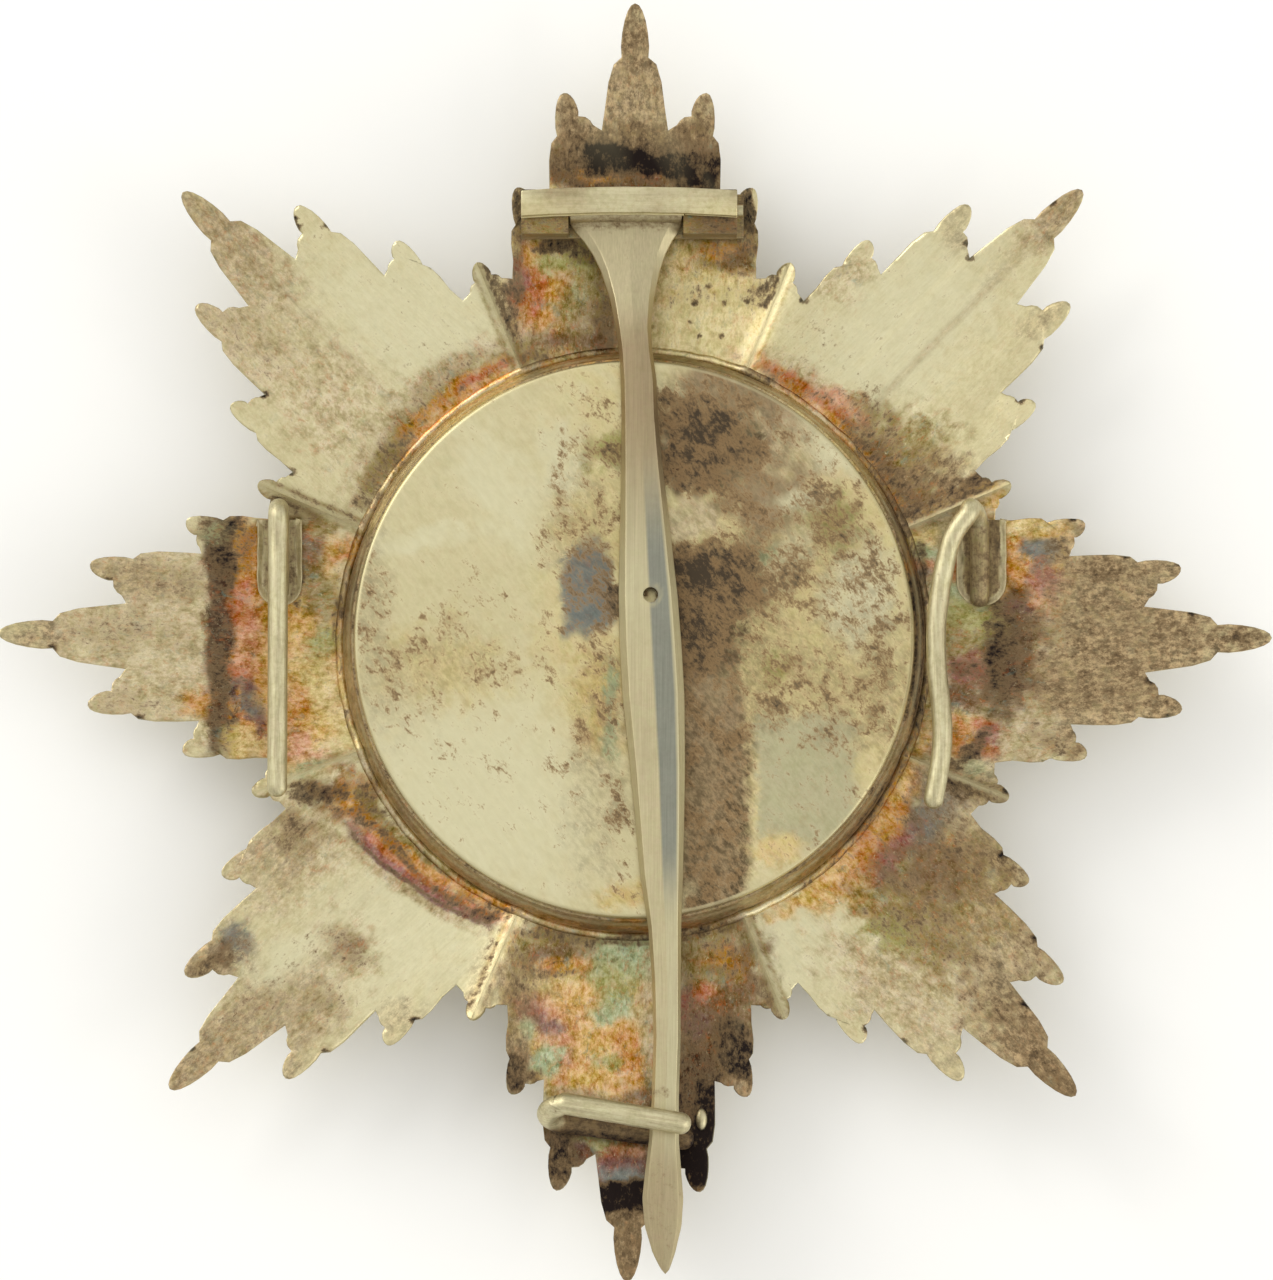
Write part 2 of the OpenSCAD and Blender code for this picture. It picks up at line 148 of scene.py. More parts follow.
@dataclass(frozen=True)
class PhotoView:
    """How the photograph looks at the star.

    The camera stands almost square above the back. The star's axis, at a height of
    axis_height, shows at axis_px.
    """

    width: int = 1273
    height: int = 1280
    axis_px: Pair = (634.0, 642.0)
    axis_height: float = 5.5
    mm_per_px: float = 0.0669
    elevation: float = 84.0
    distance: float = 700.0
    sensor: float = 36.0

    def basis(self) -> tuple[Vector, Vector, Vector]:
        """Right, up and back of the camera, as unit vectors."""
        tilt = math.radians(self.elevation)
        up = Vector((0, math.sin(tilt), math.cos(tilt)))
        back = Vector((0, -math.cos(tilt), math.sin(tilt)))
        return Vector((1, 0, 0)), up, back

    def target(self) -> Vector:
        """The point in the middle of the picture, in millimetres."""
        right, up, _ = self.basis()
        aside = (self.width / 2 - self.axis_px[0]) * self.mm_per_px
        above = (self.axis_px[1] - self.height / 2) * self.mm_per_px
        return Vector((0, 0, self.axis_height)) + right * aside + up * above

    def to_px(self, points: np.ndarray) -> np.ndarray:
        """Where points of the star show in the photograph.

        Args:
            points: An array of places in metres, one a row.

        Returns:
            An array of pixel places, one a row.
        """
        right, up, back = (np.array(v) for v in self.basis())
        offset = points / MM - np.array(self.target())
        depth = self.distance - offset @ back
        scale = self.distance / self.mm_per_px / depth
        across = self.width / 2 + scale * (offset @ right)
        down = self.height / 2 - scale * (offset @ up)
        return np.stack([across, down], axis=1)

    def make_camera(self) -> None:
        """Adds the camera and makes it the scene's."""
        back = self.basis()[2]
        data = bpy.data.cameras.new("camera")
        data.sensor_width = self.sensor
        data.lens = self.sensor * self.distance / (self.height * self.mm_per_px)
        data.clip_start = 0.01
        data.clip_end = 20
        camera = link_new("camera", data)
        camera.location = (self.target() + back * self.distance) * MM
        camera.rotation_mode = "QUATERNION"
        camera.rotation_quaternion = (-back).to_track_quat("-Z", "Y")
        bpy.context.scene.camera = camera


VIEW = PhotoView()


def smooth_step(low: float, high: float, value: np.ndarray) -> np.ndarray:
    """Rises smoothly from 0 at low to 1 at high."""
    part = np.clip((value - low) / (high - low), 0, 1)
    return part * part * (3 - 2 * part)


def fall(low: float, high: float, value: np.ndarray) -> np.ndarray:
    """Falls smoothly from 1 at low to 0 at high."""
    return 1 - smooth_step(low, high, value)


def hill(middle: float, spread: float, value: np.ndarray) -> np.ndarray:
    """A smooth hill of height 1 round a middle."""
    return np.exp(-(((value - middle) / spread) ** 2))


def linear(hex_colour: str) -> tuple[float, float, float, float]:
    """Turns an sRGB hex colour into the linear one that the shaders work in."""
    parts = [int(hex_colour[i : i + 2], 16) / 255 for i in (1, 3, 5)]
    made = [c / 12.92 if c <= 0.04045 else ((c + 0.055) / 1.055) ** 2.4 for c in parts]
    return (made[0], made[1], made[2], 1.0)


def turbulence(points: np.ndarray, size: float, seed: float) -> np.ndarray:
    """Smooth noise vectors over the metal, each part from about -1 to 1.

    Args:
        points: Places in metres, one a row.
        size: Width of the noise's lumps in millimetres.
        seed: Shifts the noise, so that no two uses are alike.

    Returns:
        One vector a row.
    """
    shift = Vector((seed, -seed, 2 * seed))
    scaled = points / (size * MM)
    return np.array([noise.noise_vector(Vector(p) + shift) for p in scaled])


# Stains of the star's arms, in the columns of a Stain; a few rows are painted shade, shadow and reflection
STAR_MATTE: Rows = [
    (634, 70, 95, 92, 0.78, 0.25, 0, 4), (636, 30, 20, 42, 0.95, 0.4),
    (100, 636, 118, 140, 0.16, 0.12, 0, 4), (30, 635, 30, 20, 0.7), (130, 580, 60, 16, 0.65, 0.7, 10),
    (1176, 636, 118, 140, 0.92, 0.25, 0, 4), (1085, 690, 50, 46, 0.85, 0.5, 10), (1245, 640, 30, 30, 1),
    (1006, 656, 30, 56, 0.1, 0.5, 0, 3), (628, 1245, 40, 40, 0.9, 0.3, 0, 3), (512, 1040, 22, 60, 0.75),
    (520, 985, 35, 22, 0.6, 0.6), (745, 1065, 22, 30, 0.8), (555, 1170, 26, 30, 0.6),
    (200, 218, 44, 22, 0.72, 0.5, 45), (225, 320, 40, 18, 0.6, 0.6, 38), (225, 245, 80, 36, 0.4, 0.7, 45),
    (255, 320, 70, 40, 0.22, 0.7, 30), (1058, 212, 42, 18, 0.66, 0.6, -45),
    (1050, 310, 30, 14, 0.55, 0.6, -40), (960, 225, 20, 26, 0.45, 0.6), (1010, 255, 45, 12, 0.22, 0.6, -45),
    (940, 470, 40, 22, 0.5, 0.6, -10), (270, 860, 60, 34, 0.45, 0.6, -30),
    (205, 1060, 50, 26, 0.85, 0.5, -40), (250, 1025, 90, 34, 0.5, 0.6, -45), (290, 1050, 20, 30, 0.6, 0.6),
    (400, 1020, 20, 26, 0.45, 0.6), (480, 985, 14, 40, 0.55, 0.6, 20), (300, 1015, 40, 36, 0.36, 0.7),
    (288, 958, 36, 22, 0.04, 0.6, -30), (230, 900, 46, 30, 0.25, 0.6, -40),
    (200, 965, 44, 26, 0.6, 0.5, -20), (960, 900, 70, 60, 0.3, 0.7), (1020, 930, 60, 60, 0.5, 0.5, 40),
    (1010, 1010, 50, 50, 0.66, 0.6, 45), (1035, 1060, 60, 28, 0.88, 0.5, 50),
    (1000, 850, 46, 30, 0.6, 0.5, 30), (960, 780, 60, 30, 0.6), (900, 990, 60, 30, 0.28, 0.7, 30),
    (940, 1060, 30, 24, 0.4, 0.6, 40),
]
STAR_FILM_AND_SHADE: Rows = [
    # The polished stretches
    (420, 320, 110, 70, CLEAN, 0.6, 30), (900, 330, 110, 60, CLEAN, 0.6, -45),
    (400, 930, 110, 70, CLEAN, 0.6, -30), (800, 940, 60, 60, CLEAN, 0.6),
    # Ground of the slanting arms
    (225, 250, 75, 42, TAN, 0.7, 45), (245, 335, 62, 45, SAND, 0.8, 30), (330, 400, 80, 40, SAND, 0.8, 40),
    (440, 378, 46, 16, TAN, 0.6, -35), (1058, 210, 44, 22, TAN, 0.6, -45),
    (905, 470, 50, 44, OLIVE, 0.6, -30), (905, 500, 34, 22, BROWN, 0.6, -20),
    (952, 498, 60, 13, BROWN, 0.3, -24, 4), (850, 275, 30, 18, SAND, 0.7, -45),
    (285, 845, 70, 50, SAND, 0.6, -20), (300, 836, 36, 26, TAN, 0.6, -20),
    (205, 955, 44, 30, TAN, 0.5, -20), (238, 942, 18, 18, SLATE, 0.4), (226, 950, 12, 12, UMBER),
    (348, 948, 26, 20, TAN, 0.7, 20), (350, 952, 14, 12, BROWN, 0.6), (270, 1010, 100, 50, SAND, 0.6, -40),
    (306, 1012, 40, 28, TAN, 0.7), (288, 958, 38, 22, CLEAN, 0.6, -30), (200, 1065, 62, 26, TAN, 0.5, -42),
    (900, 985, 80, 44, SAND, 0.6, 30), (1000, 960, 100, 64, TAN, 0.5, 45),
    (965, 925, 60, 16, SAND, 0.7, 45), (1020, 960, 40, 10, SAND, 0.7, 45),
    (945, 880, 80, 80, OLIVE, 0.5, 40), (965, 800, 66, 40, TAN, 0.5, 10),
    (1040, 1062, 60, 28, BROWN, 0.5, 50),
    # Ground of the upright arms
    (628, 1010, 126, 100, TAN, 0.15, 0, 5), (628, 1190, 100, 110, BROWN, 0.2, 0, 4),
    (725, 1020, 46, 90, BROWN, 0.4, 0, 3), (700, 1120, 26, 74, UMBER, 0.3, 0, 4),
    (1005, 640, 110, 130, TAN, 0.2, 0, 5), (632, 270, 126, 90, STRAW, 0.15, 0, 5),
    (130, 640, 100, 110, SAND, 0.3, 0, 4), (222, 640, 18, 125, BROWN, 0.3, 0, 5),
    # Upper arm
    (560, 300, 48, 70, OLIVE, 0.25, 0, 4), (548, 305, 26, 46, ORANGE, 0.6),
    (530, 285, 16, 40, EMBER, 0.5, 8), (521, 275, 10, 34, MAGENTA, 0.5, 8), (536, 256, 12, 12, ORANGE),
    (556, 262, 18, 12, GREEN, 0.6), (584, 262, 16, 18, GREEN, 0.6), (580, 300, 7, 9, TEAL, 0.6),
    (577, 318, 26, 24, OLIVE, 0.6), (600, 340, 20, 26, BROWN, 0.6), (545, 345, 30, 10, BROWN, 0.5, -12),
    (700, 325, 56, 40, CREAM, 0.5, 0, 3), (714, 248, 46, 24, OLIVE, 0.5, 0, 3),
    (724, 250, 22, 9, ORANGE, 0.6), (735, 262, 14, 12, BROWN, 0.6), (675, 255, 20, 14, STRAW, 0.6),
    # The dark band across the upper arm: tarnish with a painted dark reflection
    (632, 90, 90, 60, TAN, 0.3, 0, 4), (632, 160, 90, 34, BROWN, 0.25, 0, 4),
    (640, 142, 54, 14, OLIVE, 0.6), (632, 160, 92, 18, UMBER, 0.35, -2, 5),
    (642, 164, 84, 14, SOOT_AND_SHADE, 0.35, 4, 5), (622, 184, 62, 9, BROWN, 0.35, 0, 4), (590, 178, 26, 5, ORANGE),
    (655, 174, 26, 4, EMBER), (700, 174, 26, 18, SOOT_AND_SHADE, 0.35, 0, 4), (562, 160, 14, 24, BROWN, 0.5, 0, 3),
    # Left arm
    (246, 640, 26, 122, ORANGE, 0.25, 0, 4), (221, 640, 13.5, 114, SEPIA, 0.2, 0, 6),
    (221, 640, 11, 108, UMBER, 0.3, 0, 6), (224, 548, 12, 30, UMBER, 0.4, 6, 3), (246, 545, 10, 28, ORANGE),
    (240, 610, 12, 30, EMBER), (250, 652, 16, 26, ROSE), (240, 672, 12, 12, EMBER),
    (252, 702, 10, 26, SLATE, 0.5, -25), (250, 690, 8, 12, PLUM), (262, 728, 8, 20, PLUM, 0.5, -15),
    (238, 742, 18, 16, STRAW), (305, 650, 40, 118, GOLD, 0.2, 0, 5), (300, 548, 28, 34, BROWN, 0.5, 0, 3),
    (350, 550, 18, 16, ORANGE, 0.5, -20), (322, 530, 18, 9, OLIVE, 0.5, 15), (322, 595, 24, 30, OLIVE),
    (300, 626, 20, 14, GOLD, 0.5, -20), (322, 645, 22, 16, GREEN, 0.5, -30), (318, 690, 26, 30, STRAW, 0.6),
    (296, 715, 10, 34, ORANGE, 0.6), (335, 715, 14, 30, STRAW, 0.5, -30),
    (335, 750, 30, 12, CREAM, 0.5, -20), (297, 745, 14, 14, ROSE, 0.6), (318, 757, 16, 8, ROSE, 0.6, -25),
    (310, 768, 18, 7, TEAL, 0.5, -25), (196, 700, 14, 14, ORANGE, 0.6), (222, 530, 14, 10, TEAL),
    # Right arm
    (1100, 640, 90, 96, TAN, 0.5, 0, 4), (1026, 560, 40, 46, GOLD, 0.3, 0, 3),
    (1014, 545, 24, 34, GOLD, 0.4, 0, 3), (1008, 566, 11, 34, ORANGE), (1032, 526, 24, 9, STRAW, 0.6),
    (1030, 562, 12, 12, ORANGE, 0.6), (1042, 550, 18, 11, SLATE), (1046, 584, 22, 20, MAGENTA, 0.6),
    (1030, 600, 22, 18, ROSE, 0.6), (1010, 585, 12, 16, ORANGE, 0.6), (1013, 652, 28, 54, BROWN, 0.5, 0, 3),
    (1004, 654, 22, 52, UMBER, 0.5, 3, 3), (1014, 612, 18, 9, PLUM), (915, 540, 24, 10, STRAW, 0.4, -25),
    (918, 550, 16, 8, TEAL, 0.5, -20), (918, 561, 12, 8, ROSE), (914, 571, 10, 7, SLATE),
    (950, 590, 18, 24, TEAL, 0.4), (953, 565, 8, 18, ROSE), (968, 622, 30, 22, GREEN, 0.5, 0, 3),
    (962, 648, 24, 20, OLIVE), (968, 672, 24, 14, MAGENTA, 0.5, -10), (960, 696, 24, 18, BROWN),
    (912, 735, 18, 18, OLIVE), (912, 748, 16, 10, EMBER, 0.5, 20), (962, 722, 20, 8, STRAW, 0.5, 10),
    (978, 726, 16, 8, EMBER, 0.5, 10), (958, 738, 14, 14, ORANGE), (982, 742, 20, 10, MAGENTA, 0.5, -50),
    (990, 752, 10, 8, EMBER), (975, 768, 18, 10, TEAL, 0.5, 20),
    # Lower arm
    (585, 1010, 56, 78, GOLD, 0.35, 0, 4), (618, 960, 34, 24, TEAL, 0.5, 0, 3),
    (556, 948, 38, 22, OLIVE, 0.5, 8), (560, 966, 30, 10, ORANGE, 0.4, -5),
    (552, 952, 30, 8, BROWN, 0.5, -5), (521, 1000, 14, 50, OLIVE, 0.5, 0, 3),
    (612, 992, 24, 26, GREEN, 0.6), (610, 1012, 26, 10, TEAL), (556, 1004, 30, 20, ROSE, 0.6),
    (572, 1000, 18, 16, GOLD, 0.6), (534, 1016, 14, 14, MAGENTA, 0.6), (531, 1030, 9, 9, TEAL),
    (553, 1028, 12, 8, PLUM, 0.6), (562, 1038, 16, 8, ROSE, 0.6), (558, 1052, 14, 10, TEAL, 0.4),
    (548, 1064, 16, 12, TEAL, 0.4), (568, 1062, 6, 14, ROSE), (563, 1078, 8, 10, EMBER),
    (604, 1042, 26, 8, GOLD, 0.6), (625, 1040, 12, 14, ORANGE, 0.6), (606, 1062, 20, 8, GREEN),
    (585, 1078, 26, 10, GOLD, 0.6), (632, 1070, 14, 20, ORANGE, 0.6), (545, 985, 24, 8, STRAW, 0.6),
    (706, 950, 30, 24, OLIVE, 0.4, 0, 3), (722, 992, 36, 34, BROWN, 0.6), (722, 965, 22, 16, ORANGE, 0.6),
    (712, 976, 24, 12, OLIVE, 0.6), (704, 992, 12, 10, EMBER, 0.6), (686, 1006, 10, 20, MAGENTA),
    (698, 1026, 14, 12, PLUM, 0.6), (565, 1150, 24, 20, MAGENTA), (626, 1148, 24, 10, ROSE, 0.4, 0, 3),
    (610, 1165, 10, 22, MAGENTA), (628, 1162, 20, 10, PLUM), (622, 1176, 20, 10, SLATE),
    (622, 1198, 26, 17, SOOT_AND_SHADE, 0.3, 0, 5), (740, 1045, 20, 26, SOOT_AND_SHADE, 0.5, -20), (512, 1070, 24, 24, UMBER),
    (560, 1162, 30, 40, UMBER), (566, 1144, 18, 8, PLUM), (595, 1140, 20, 6, GREEN),
    # Along the drum, on the slanting arms
    (800, 388, 36, 10, ORANGE, 0.5, 33), (838, 402, 26, 12, ROSE, 0.6, 30),
    (860, 425, 30, 14, OLIVE, 0.6, 45), (855, 455, 34, 6, ORANGE, 0.5, 46),
    (890, 440, 30, 30, OLIVE, 0.7, 45), (992, 495, 14, 10, GOLD), (340, 792, 34, 16, BROWN, 0.6, 10),
    (352, 800, 20, 22, ORANGE, 0.6, 40), (840, 880, 44, 20, GOLD, 0.6, -35),
    (862, 900, 26, 10, ORANGE, 0.6, 35), (872, 872, 22, 14, EMBER, 0.45, -50), (886, 862, 16, 20, MAGENTA),
    (903, 836, 30, 24, MAGENTA, 0.4), (922, 832, 16, 14, SLATE), (916, 822, 16, 12, PLUM),
    (886, 884, 14, 16, PLUM, 0.5, -30), (880, 800, 34, 40, BROWN, 0.5, 8),
    (898, 790, 14, 40, ORANGE, 0.5, 8), (868, 850, 14, 34, EMBER, 0.5, 35), (905, 765, 16, 14, MAGENTA),
    (936, 800, 22, 26, SLATE, 0.6), (900, 920, 60, 24, OLIVE, 0.6, 40), (892, 936, 30, 16, GREEN, 0.6, 25),
    (935, 870, 40, 30, BROWN, 0.7, 20),
]
STAR_GRIME_AND_SHADE: Rows = [
    # The dark band across the upper arm: tarnish with a painted dark reflection
    (632, 158, 92, 24, 0.62, 0.45, 0, 4), (640, 162, 84, 13, 1.4, 0.35, 4, 6),
    (650, 130, 40, 12, 0.62, 0.6), (698, 174, 26, 17, 1.35, 0.35, 0, 4), (565, 165, 22, 22, 0.66),
    (620, 182, 62, 6, 0.56, 0.5, 0, 3), (568, 110, 14, 30, 0.45, 0.6), (700, 130, 22, 28, 0.55, 0.6),
    # At 562, 247 and 582, 258: painted shadow under the left part of the hinge's strip
    (637, 45, 22, 40, 0.42, 0.7), (562, 247, 22, 8, 0.92, 0.4, 0, 3), (582, 258, 20, 12, 0.7, 0.5, 0, 3),
    (519, 200, 12, 26, 0.9, 0.4, 0, 3), (519, 250, 9, 50, 0.7, 0.4, 0, 3),
    (516, 292, 14, 16, 0.88, 0.5, -30), (512, 315, 8, 30, 0.62, 0.6, -10), (530, 355, 22, 8, 0.6, 0.6, -20),
    (605, 320, 8, 34, 0.6, 0.6, -10), (746, 205, 10, 34, 1, 0.25, 0, 3), (744, 250, 9, 20, 0.9, 0.4),
    (735, 268, 24, 10, 0.45, 0.6), (720, 262, 26, 12, 0.36, 0.6), (724, 238, 34, 12, 0.42, 0.6),
    (758, 295, 16, 14, 0.6, 0.5, -30), (770, 285, 8, 24, 0.72, 0.4, 25), (700, 298, 44, 10, 0.32, 0.7),
    (498, 300, 8, 50, 0.6, 0.4, -22), (490, 272, 8, 14, 0.74, 0.5, -30),
    # Left arm
    (221, 640, 13, 106, 0.3, 0.3, 0, 6), (218, 690, 9, 44, 0.62, 0.4, 0, 4),
    (228, 550, 14, 38, 1.05, 0.35, 6, 3), (240, 528, 16, 10, 0.82), (222, 738, 12, 26, 0.55, 0.4, 0, 3),
    (208, 528, 16, 12, 0.6, 0.5, 20), (247, 545, 12, 24, 0.5), (250, 700, 14, 30, 0.45, 0.6, -20),
    (170, 580, 60, 20, 0.3, 0.7, 10), (115, 630, 60, 20, 0.32, 0.7), (130, 705, 60, 14, 0.24, 0.7),
    (276, 503, 16, 8, 0.78, 0.4), (300, 512, 24, 7, 0.6, 0.5, 22), (320, 505, 48, 8, 0.48, 0.5, 24),
    (296, 580, 8, 34, 0.62), (340, 620, 5, 44, 0.6),
    # Right arm
    (1015, 652, 31, 54, 0.46, 0.45, 5, 3), (1003, 650, 17, 46, 1.16, 0.45, 5, 3), (1022, 676, 22, 24, 0.52),
    (1070, 690, 40, 20, 0.5, 0.7), (1060, 625, 26, 10, 0.5, 0.7), (972, 672, 20, 10, 0.62, 0.5, -10),
    (1052, 552, 14, 16, 0.55), (1100, 570, 46, 12, 0.5, 0.7), (1130, 690, 34, 24, 0.5, 0.7),
    (1180, 632, 60, 14, 0.5, 0.7), (1100, 640, 90, 60, 0.34, 0.7), (1240, 638, 22, 12, 0.62, 0.6),
    (1062, 748, 34, 14, 0.5, 0.6, 30), (972, 748, 26, 9, 0.85, 0.5, -52), (962, 788, 24, 10, 0.88, 0.4, 22),
    (950, 765, 18, 6, 0.75, 0.4, 15), (985, 792, 26, 8, 0.55, 0.6, 12), (1004, 560, 4, 44, 0.75),
    (917, 600, 5, 70, 0.85, 0.4, 0, 3),
    # Lower arm
    (700, 1138, 26, 54, 1.45, 0.3, 0, 4), (702, 1092, 24, 28, 1.2, 0.4, 0, 3),
    (736, 1050, 22, 34, 1.1, 0.5, -20), (690, 1070, 12, 50, 0.7, 0.5, 0, 3), (700, 1052, 26, 34, 0.56, 0.6),
    (686, 1030, 10, 60, 0.55, 0.6), (624, 1198, 30, 18, 1.5, 0.3, 0, 5), (622, 1215, 18, 8, 0.6, 0.6),
    (570, 1122, 32, 16, 0.72, 0.4, 0, 3), (558, 1160, 22, 30, 0.9), (514, 1072, 16, 22, 0.86),
    (535, 1074, 14, 8, 0.7, 0.5, -20), (523, 985, 14, 34, 0.44, 0.6), (560, 938, 40, 7, 0.6, 0.5, 8),
    (556, 975, 26, 4, 0.5, 0.5, -8), (730, 960, 26, 22, 0.46, 0.7), (760, 985, 8, 40, 0.55, 0.5, -25),
    (624, 1245, 20, 36, 0.5), (1050, 1075, 26, 14, 0.62, 0.6, 50), (636, 25, 18, 30, 0.4, 0.7),
    # Slanting arms
    (440, 392, 46, 18, 0.34, 0.6, -35), (445, 350, 40, 18, 0.08, 0.8, -20),
    (396, 448, 14, 34, 0.62, 0.5, 38), (374, 500, 9, 22, 0.52, 0.5, 20), (250, 340, 60, 30, 0.12, 0.8, 30),
    (760, 376, 20, 8, 0.72, 0.5, 15), (800, 382, 46, 10, 0.22, 0.6, 28), (872, 410, 40, 20, 0.36, 0.7, 30),
    (880, 450, 26, 44, 0.5, 0.6, -20), (895, 500, 30, 28, 0.66, 0.6), (950, 497, 58, 12, 0.6, 0.3, -24, 4),
    (925, 478, 40, 24, 0.5, 0.7, -12), (975, 485, 28, 10, 0.78, 0.5, -8), (905, 515, 34, 6, 0.85, 0.5, -25),
    (838, 272, 12, 8, 0.3, 0.7), (818, 345, 34, 26, 0.18, 0.8), (320, 792, 34, 14, 0.86, 0.5, 5),
    (292, 830, 26, 18, 0.56, 0.6), (350, 815, 30, 5, 0.52, 0.5, 22), (366, 800, 10, 34, 0.62, 0.5, 20),
    (395, 850, 50, 6, 0.66, 0.5, 47), (455, 900, 34, 6, 0.7, 0.5, 33), (495, 912, 22, 7, 0.78, 0.5, 10),
    (338, 938, 16, 12, 0.46, 0.6), (354, 956, 14, 11, 0.62, 0.6), (345, 948, 24, 18, 0.34, 0.6, 20),
    (236, 945, 18, 14, 0.4, 0.4, -30), (205, 965, 26, 10, 0.66, 0.5, -30), (330, 1000, 26, 20, 0.26, 0.7),
    (265, 1000, 60, 30, 0.22, 0.8, -45), (488, 965, 8, 50, 0.4, 0.5, 24), (930, 815, 34, 22, 0.42, 0.6, 10),
    (895, 858, 26, 26, 0.34, 0.6, -30), (915, 900, 60, 26, 0.4, 0.7, 45), (960, 860, 44, 30, 0.48, 0.7, 30),
    (900, 930, 34, 16, 0.5, 0.6, 40), (1010, 1000, 44, 44, 0.46, 0.7), (955, 955, 50, 20, 0.4, 0.7, 30),
    (1045, 1065, 34, 14, 0.5, 0.6, 50), (1035, 950, 34, 10, 0.4, 0.6, 45),
    (1000, 860, 34, 14, 0.44, 0.7, 30),
]

# Soot in the notches between the leaves: place across and down in the photograph
STAR_NOTCHES: list[tuple[int, int]] = [
    (237, 223), (296, 226), (330, 232), (271, 408), (258, 436), (292, 477), (1055, 235), (1033, 343),
    (1005, 437), (968, 230), (970, 258), (790, 300), (117, 582), (52, 622), (49, 648), (138, 714),
    (1041, 519), (1127, 561), (1218, 620), (1213, 651), (1155, 688), (1125, 719), (1037, 758), (325, 1045),
    (215, 1062), (416, 1014), (1042, 1040), (1033, 940), (995, 845), (836, 1012), (920, 1048),
]
# Round pits in the upper arm: place across and down in the photograph, and radius in pixels
STAR_PITS: list[Triple] = [
    (695, 303, 4.0), (709, 287, 3.0), (715, 293, 2.4), (724, 304, 3.4), (747, 302, 2.6), (699, 336, 2.4),
    (721, 336, 3.2), (690, 322, 2.0),
]
# Stains of the arms along the drum, placed round it
STAR_HALO: Rows = [
    # Upper left
    (130, 322, 17, 12, TAN, 0.7, 0, 4), (131, 311, 19, 9, OLIVE, 0.5, 0, 6),
    (128, 309, 12, 7, ORANGE, 0.5, 0, 4), (119, 306, 7, 5, EMBER, 0.5, 0, 4),
    (128, 297, 15, 5, ORANGE, 0.4, 0, 4), (146, 306, 7, 8, OLIVE, 0.5, 0, 4),
    # Lower left
    (226, 302, 22, 7, OLIVE, 0.4, -8, 6), (226, 310, 20, 6, ORANGE, 0.3, -9, 6),
    (228, 336, 13, 7, TAN, 0.5, -9, 6), (228, 329, 16, 4, PLUM, 0.35, -9, 6),
    (228, 323, 17, 4.5, MAGENTA, 0.3, -9, 6), (229, 317, 16, 4, EMBER, 0.3, -9, 6),
    # Right side and lower right
    (340, 300, 16, 9, OLIVE, 0.5, 0, 4), (322, 308, 12, 12, ORANGE, 0.6, 0, 4),
    (336, 306, 8, 5, GOLD, 0.5, 0, 4), (306, 306, 9, 8, GOLD, 0.6, 0, 4),
    # Upper right
    (52, 312, 13, 14, TAN, 0.6, 0, 4), (56, 306, 12, 8, EMBER, 0.5, 0, 4), (49, 318, 5, 8, ROSE, 0.6),
    (42, 300, 14, 4, ORANGE, 0.5, 0, 4), (36, 310, 6, 9, BROWN, 0.6, 0, 4),
]
STAR_HALO_GRIME: Rows = [
    (149, 304, 6, 9, 0.48, 0.6, 0, 4), (130, 320, 16, 9, 0.26, 0.7, 0, 4),
    (228, 329, 16, 2.2, 0.62, 0.4, -9, 6), (240, 304, 8, 3, 0.5, 0.5, -6, 4),
    (212, 306, 6, 6, 0.6, 0.6, -8, 4), (225, 298, 16, 2.5, 0.6, 0.5, 0, 4),
    (270, 300, 24, 4, 0.66, 0.6, 0, 4), (62, 302, 8, 5, 0.4, 0.6, 0, 4), (35, 302, 12, 9, 0.66, 0.6, 0, 4),
]

# Stains of the lid, in the same columns. Its darker right half, beside the pin, is tarnish with painted
# shadow and reflection, and the pale streaks on its upper left are painted reflection.
LID_FILM_SHADE_AND_SHEEN: Rows = [
    (800, 600, 150, 260, CREAM, 0.4, 0, 3), (770, 420, 90, 60, SAND, 0.5, 20),
    (800, 785, 56, 76, DUSK, 0.2, 0, 4), (590, 560, 50, 180, CREAM, 0.6, 0, 3),
    (470, 800, 120, 110, CLEAN, 0.5, -10), (470, 500, 110, 100, PALE, 0.6),
    # Pale streaks: painted reflection
    (420, 540, 60, 10, CLEAN, 0.6, -8), (500, 490, 30, 60, CLEAN, 0.7, -35), (560, 480, 22, 60, CLEAN, 0.7),
    (590, 530, 40, 34, CREAM, 0.6), (445, 665, 60, 36, CREAM, 0.7), (600, 700, 26, 50, STRAW, 0.6),
    (611, 712, 8, 50, TEAL, 0.4, 0, 3), (607, 455, 18, 14, GREEN, 0.6),
    (588, 588, 27, 45, SLATE, 0.2, 0, 3), (620, 895, 26, 12, STRAW, 0.6),
    # Beside and right of the pin: tarnish with painted shadow and reflection
    (702, 446, 44, 52, SEPIA, 0.3, 0, 3), (694, 448, 26, 40, UMBER, 0.4, 0, 3),
    (745, 455, 26, 22, SEPIA, 0.5, -20), (718, 578, 64, 30, SEPIA, 0.3, 0, 3),
    (704, 576, 40, 24, UMBER, 0.4, 0, 3), (702, 636, 42, 60, SEPIA, 0.3, 0, 3),
    (690, 620, 20, 66, UMBER, 0.4, 0, 3), (690, 520, 26, 18, SAND, 0.3), (770, 500, 40, 46, MAUVE, 0.6),
    (745, 395, 60, 22, MAUVE, 0.6, 20), (712, 790, 34, 118, MAUVE, 0.2, 0, 4), (775, 566, 26, 15, TEAL),
    (830, 520, 34, 26, GREEN, 0.5, 20), (752, 780, 6, 80, CREAM, 0.4, 0, 4), (775, 850, 30, 14, STRAW, 0.6),
    (860, 600, 34, 50, CLEAN, 0.7), (840, 440, 40, 26, CLEAN, 0.5, 45), (800, 500, 26, 10, CLEAN, 0.6),
    (790, 560, 14, 40, PALE, 0.6, 20), (780, 670, 14, 14, GREEN, 0.6),
]
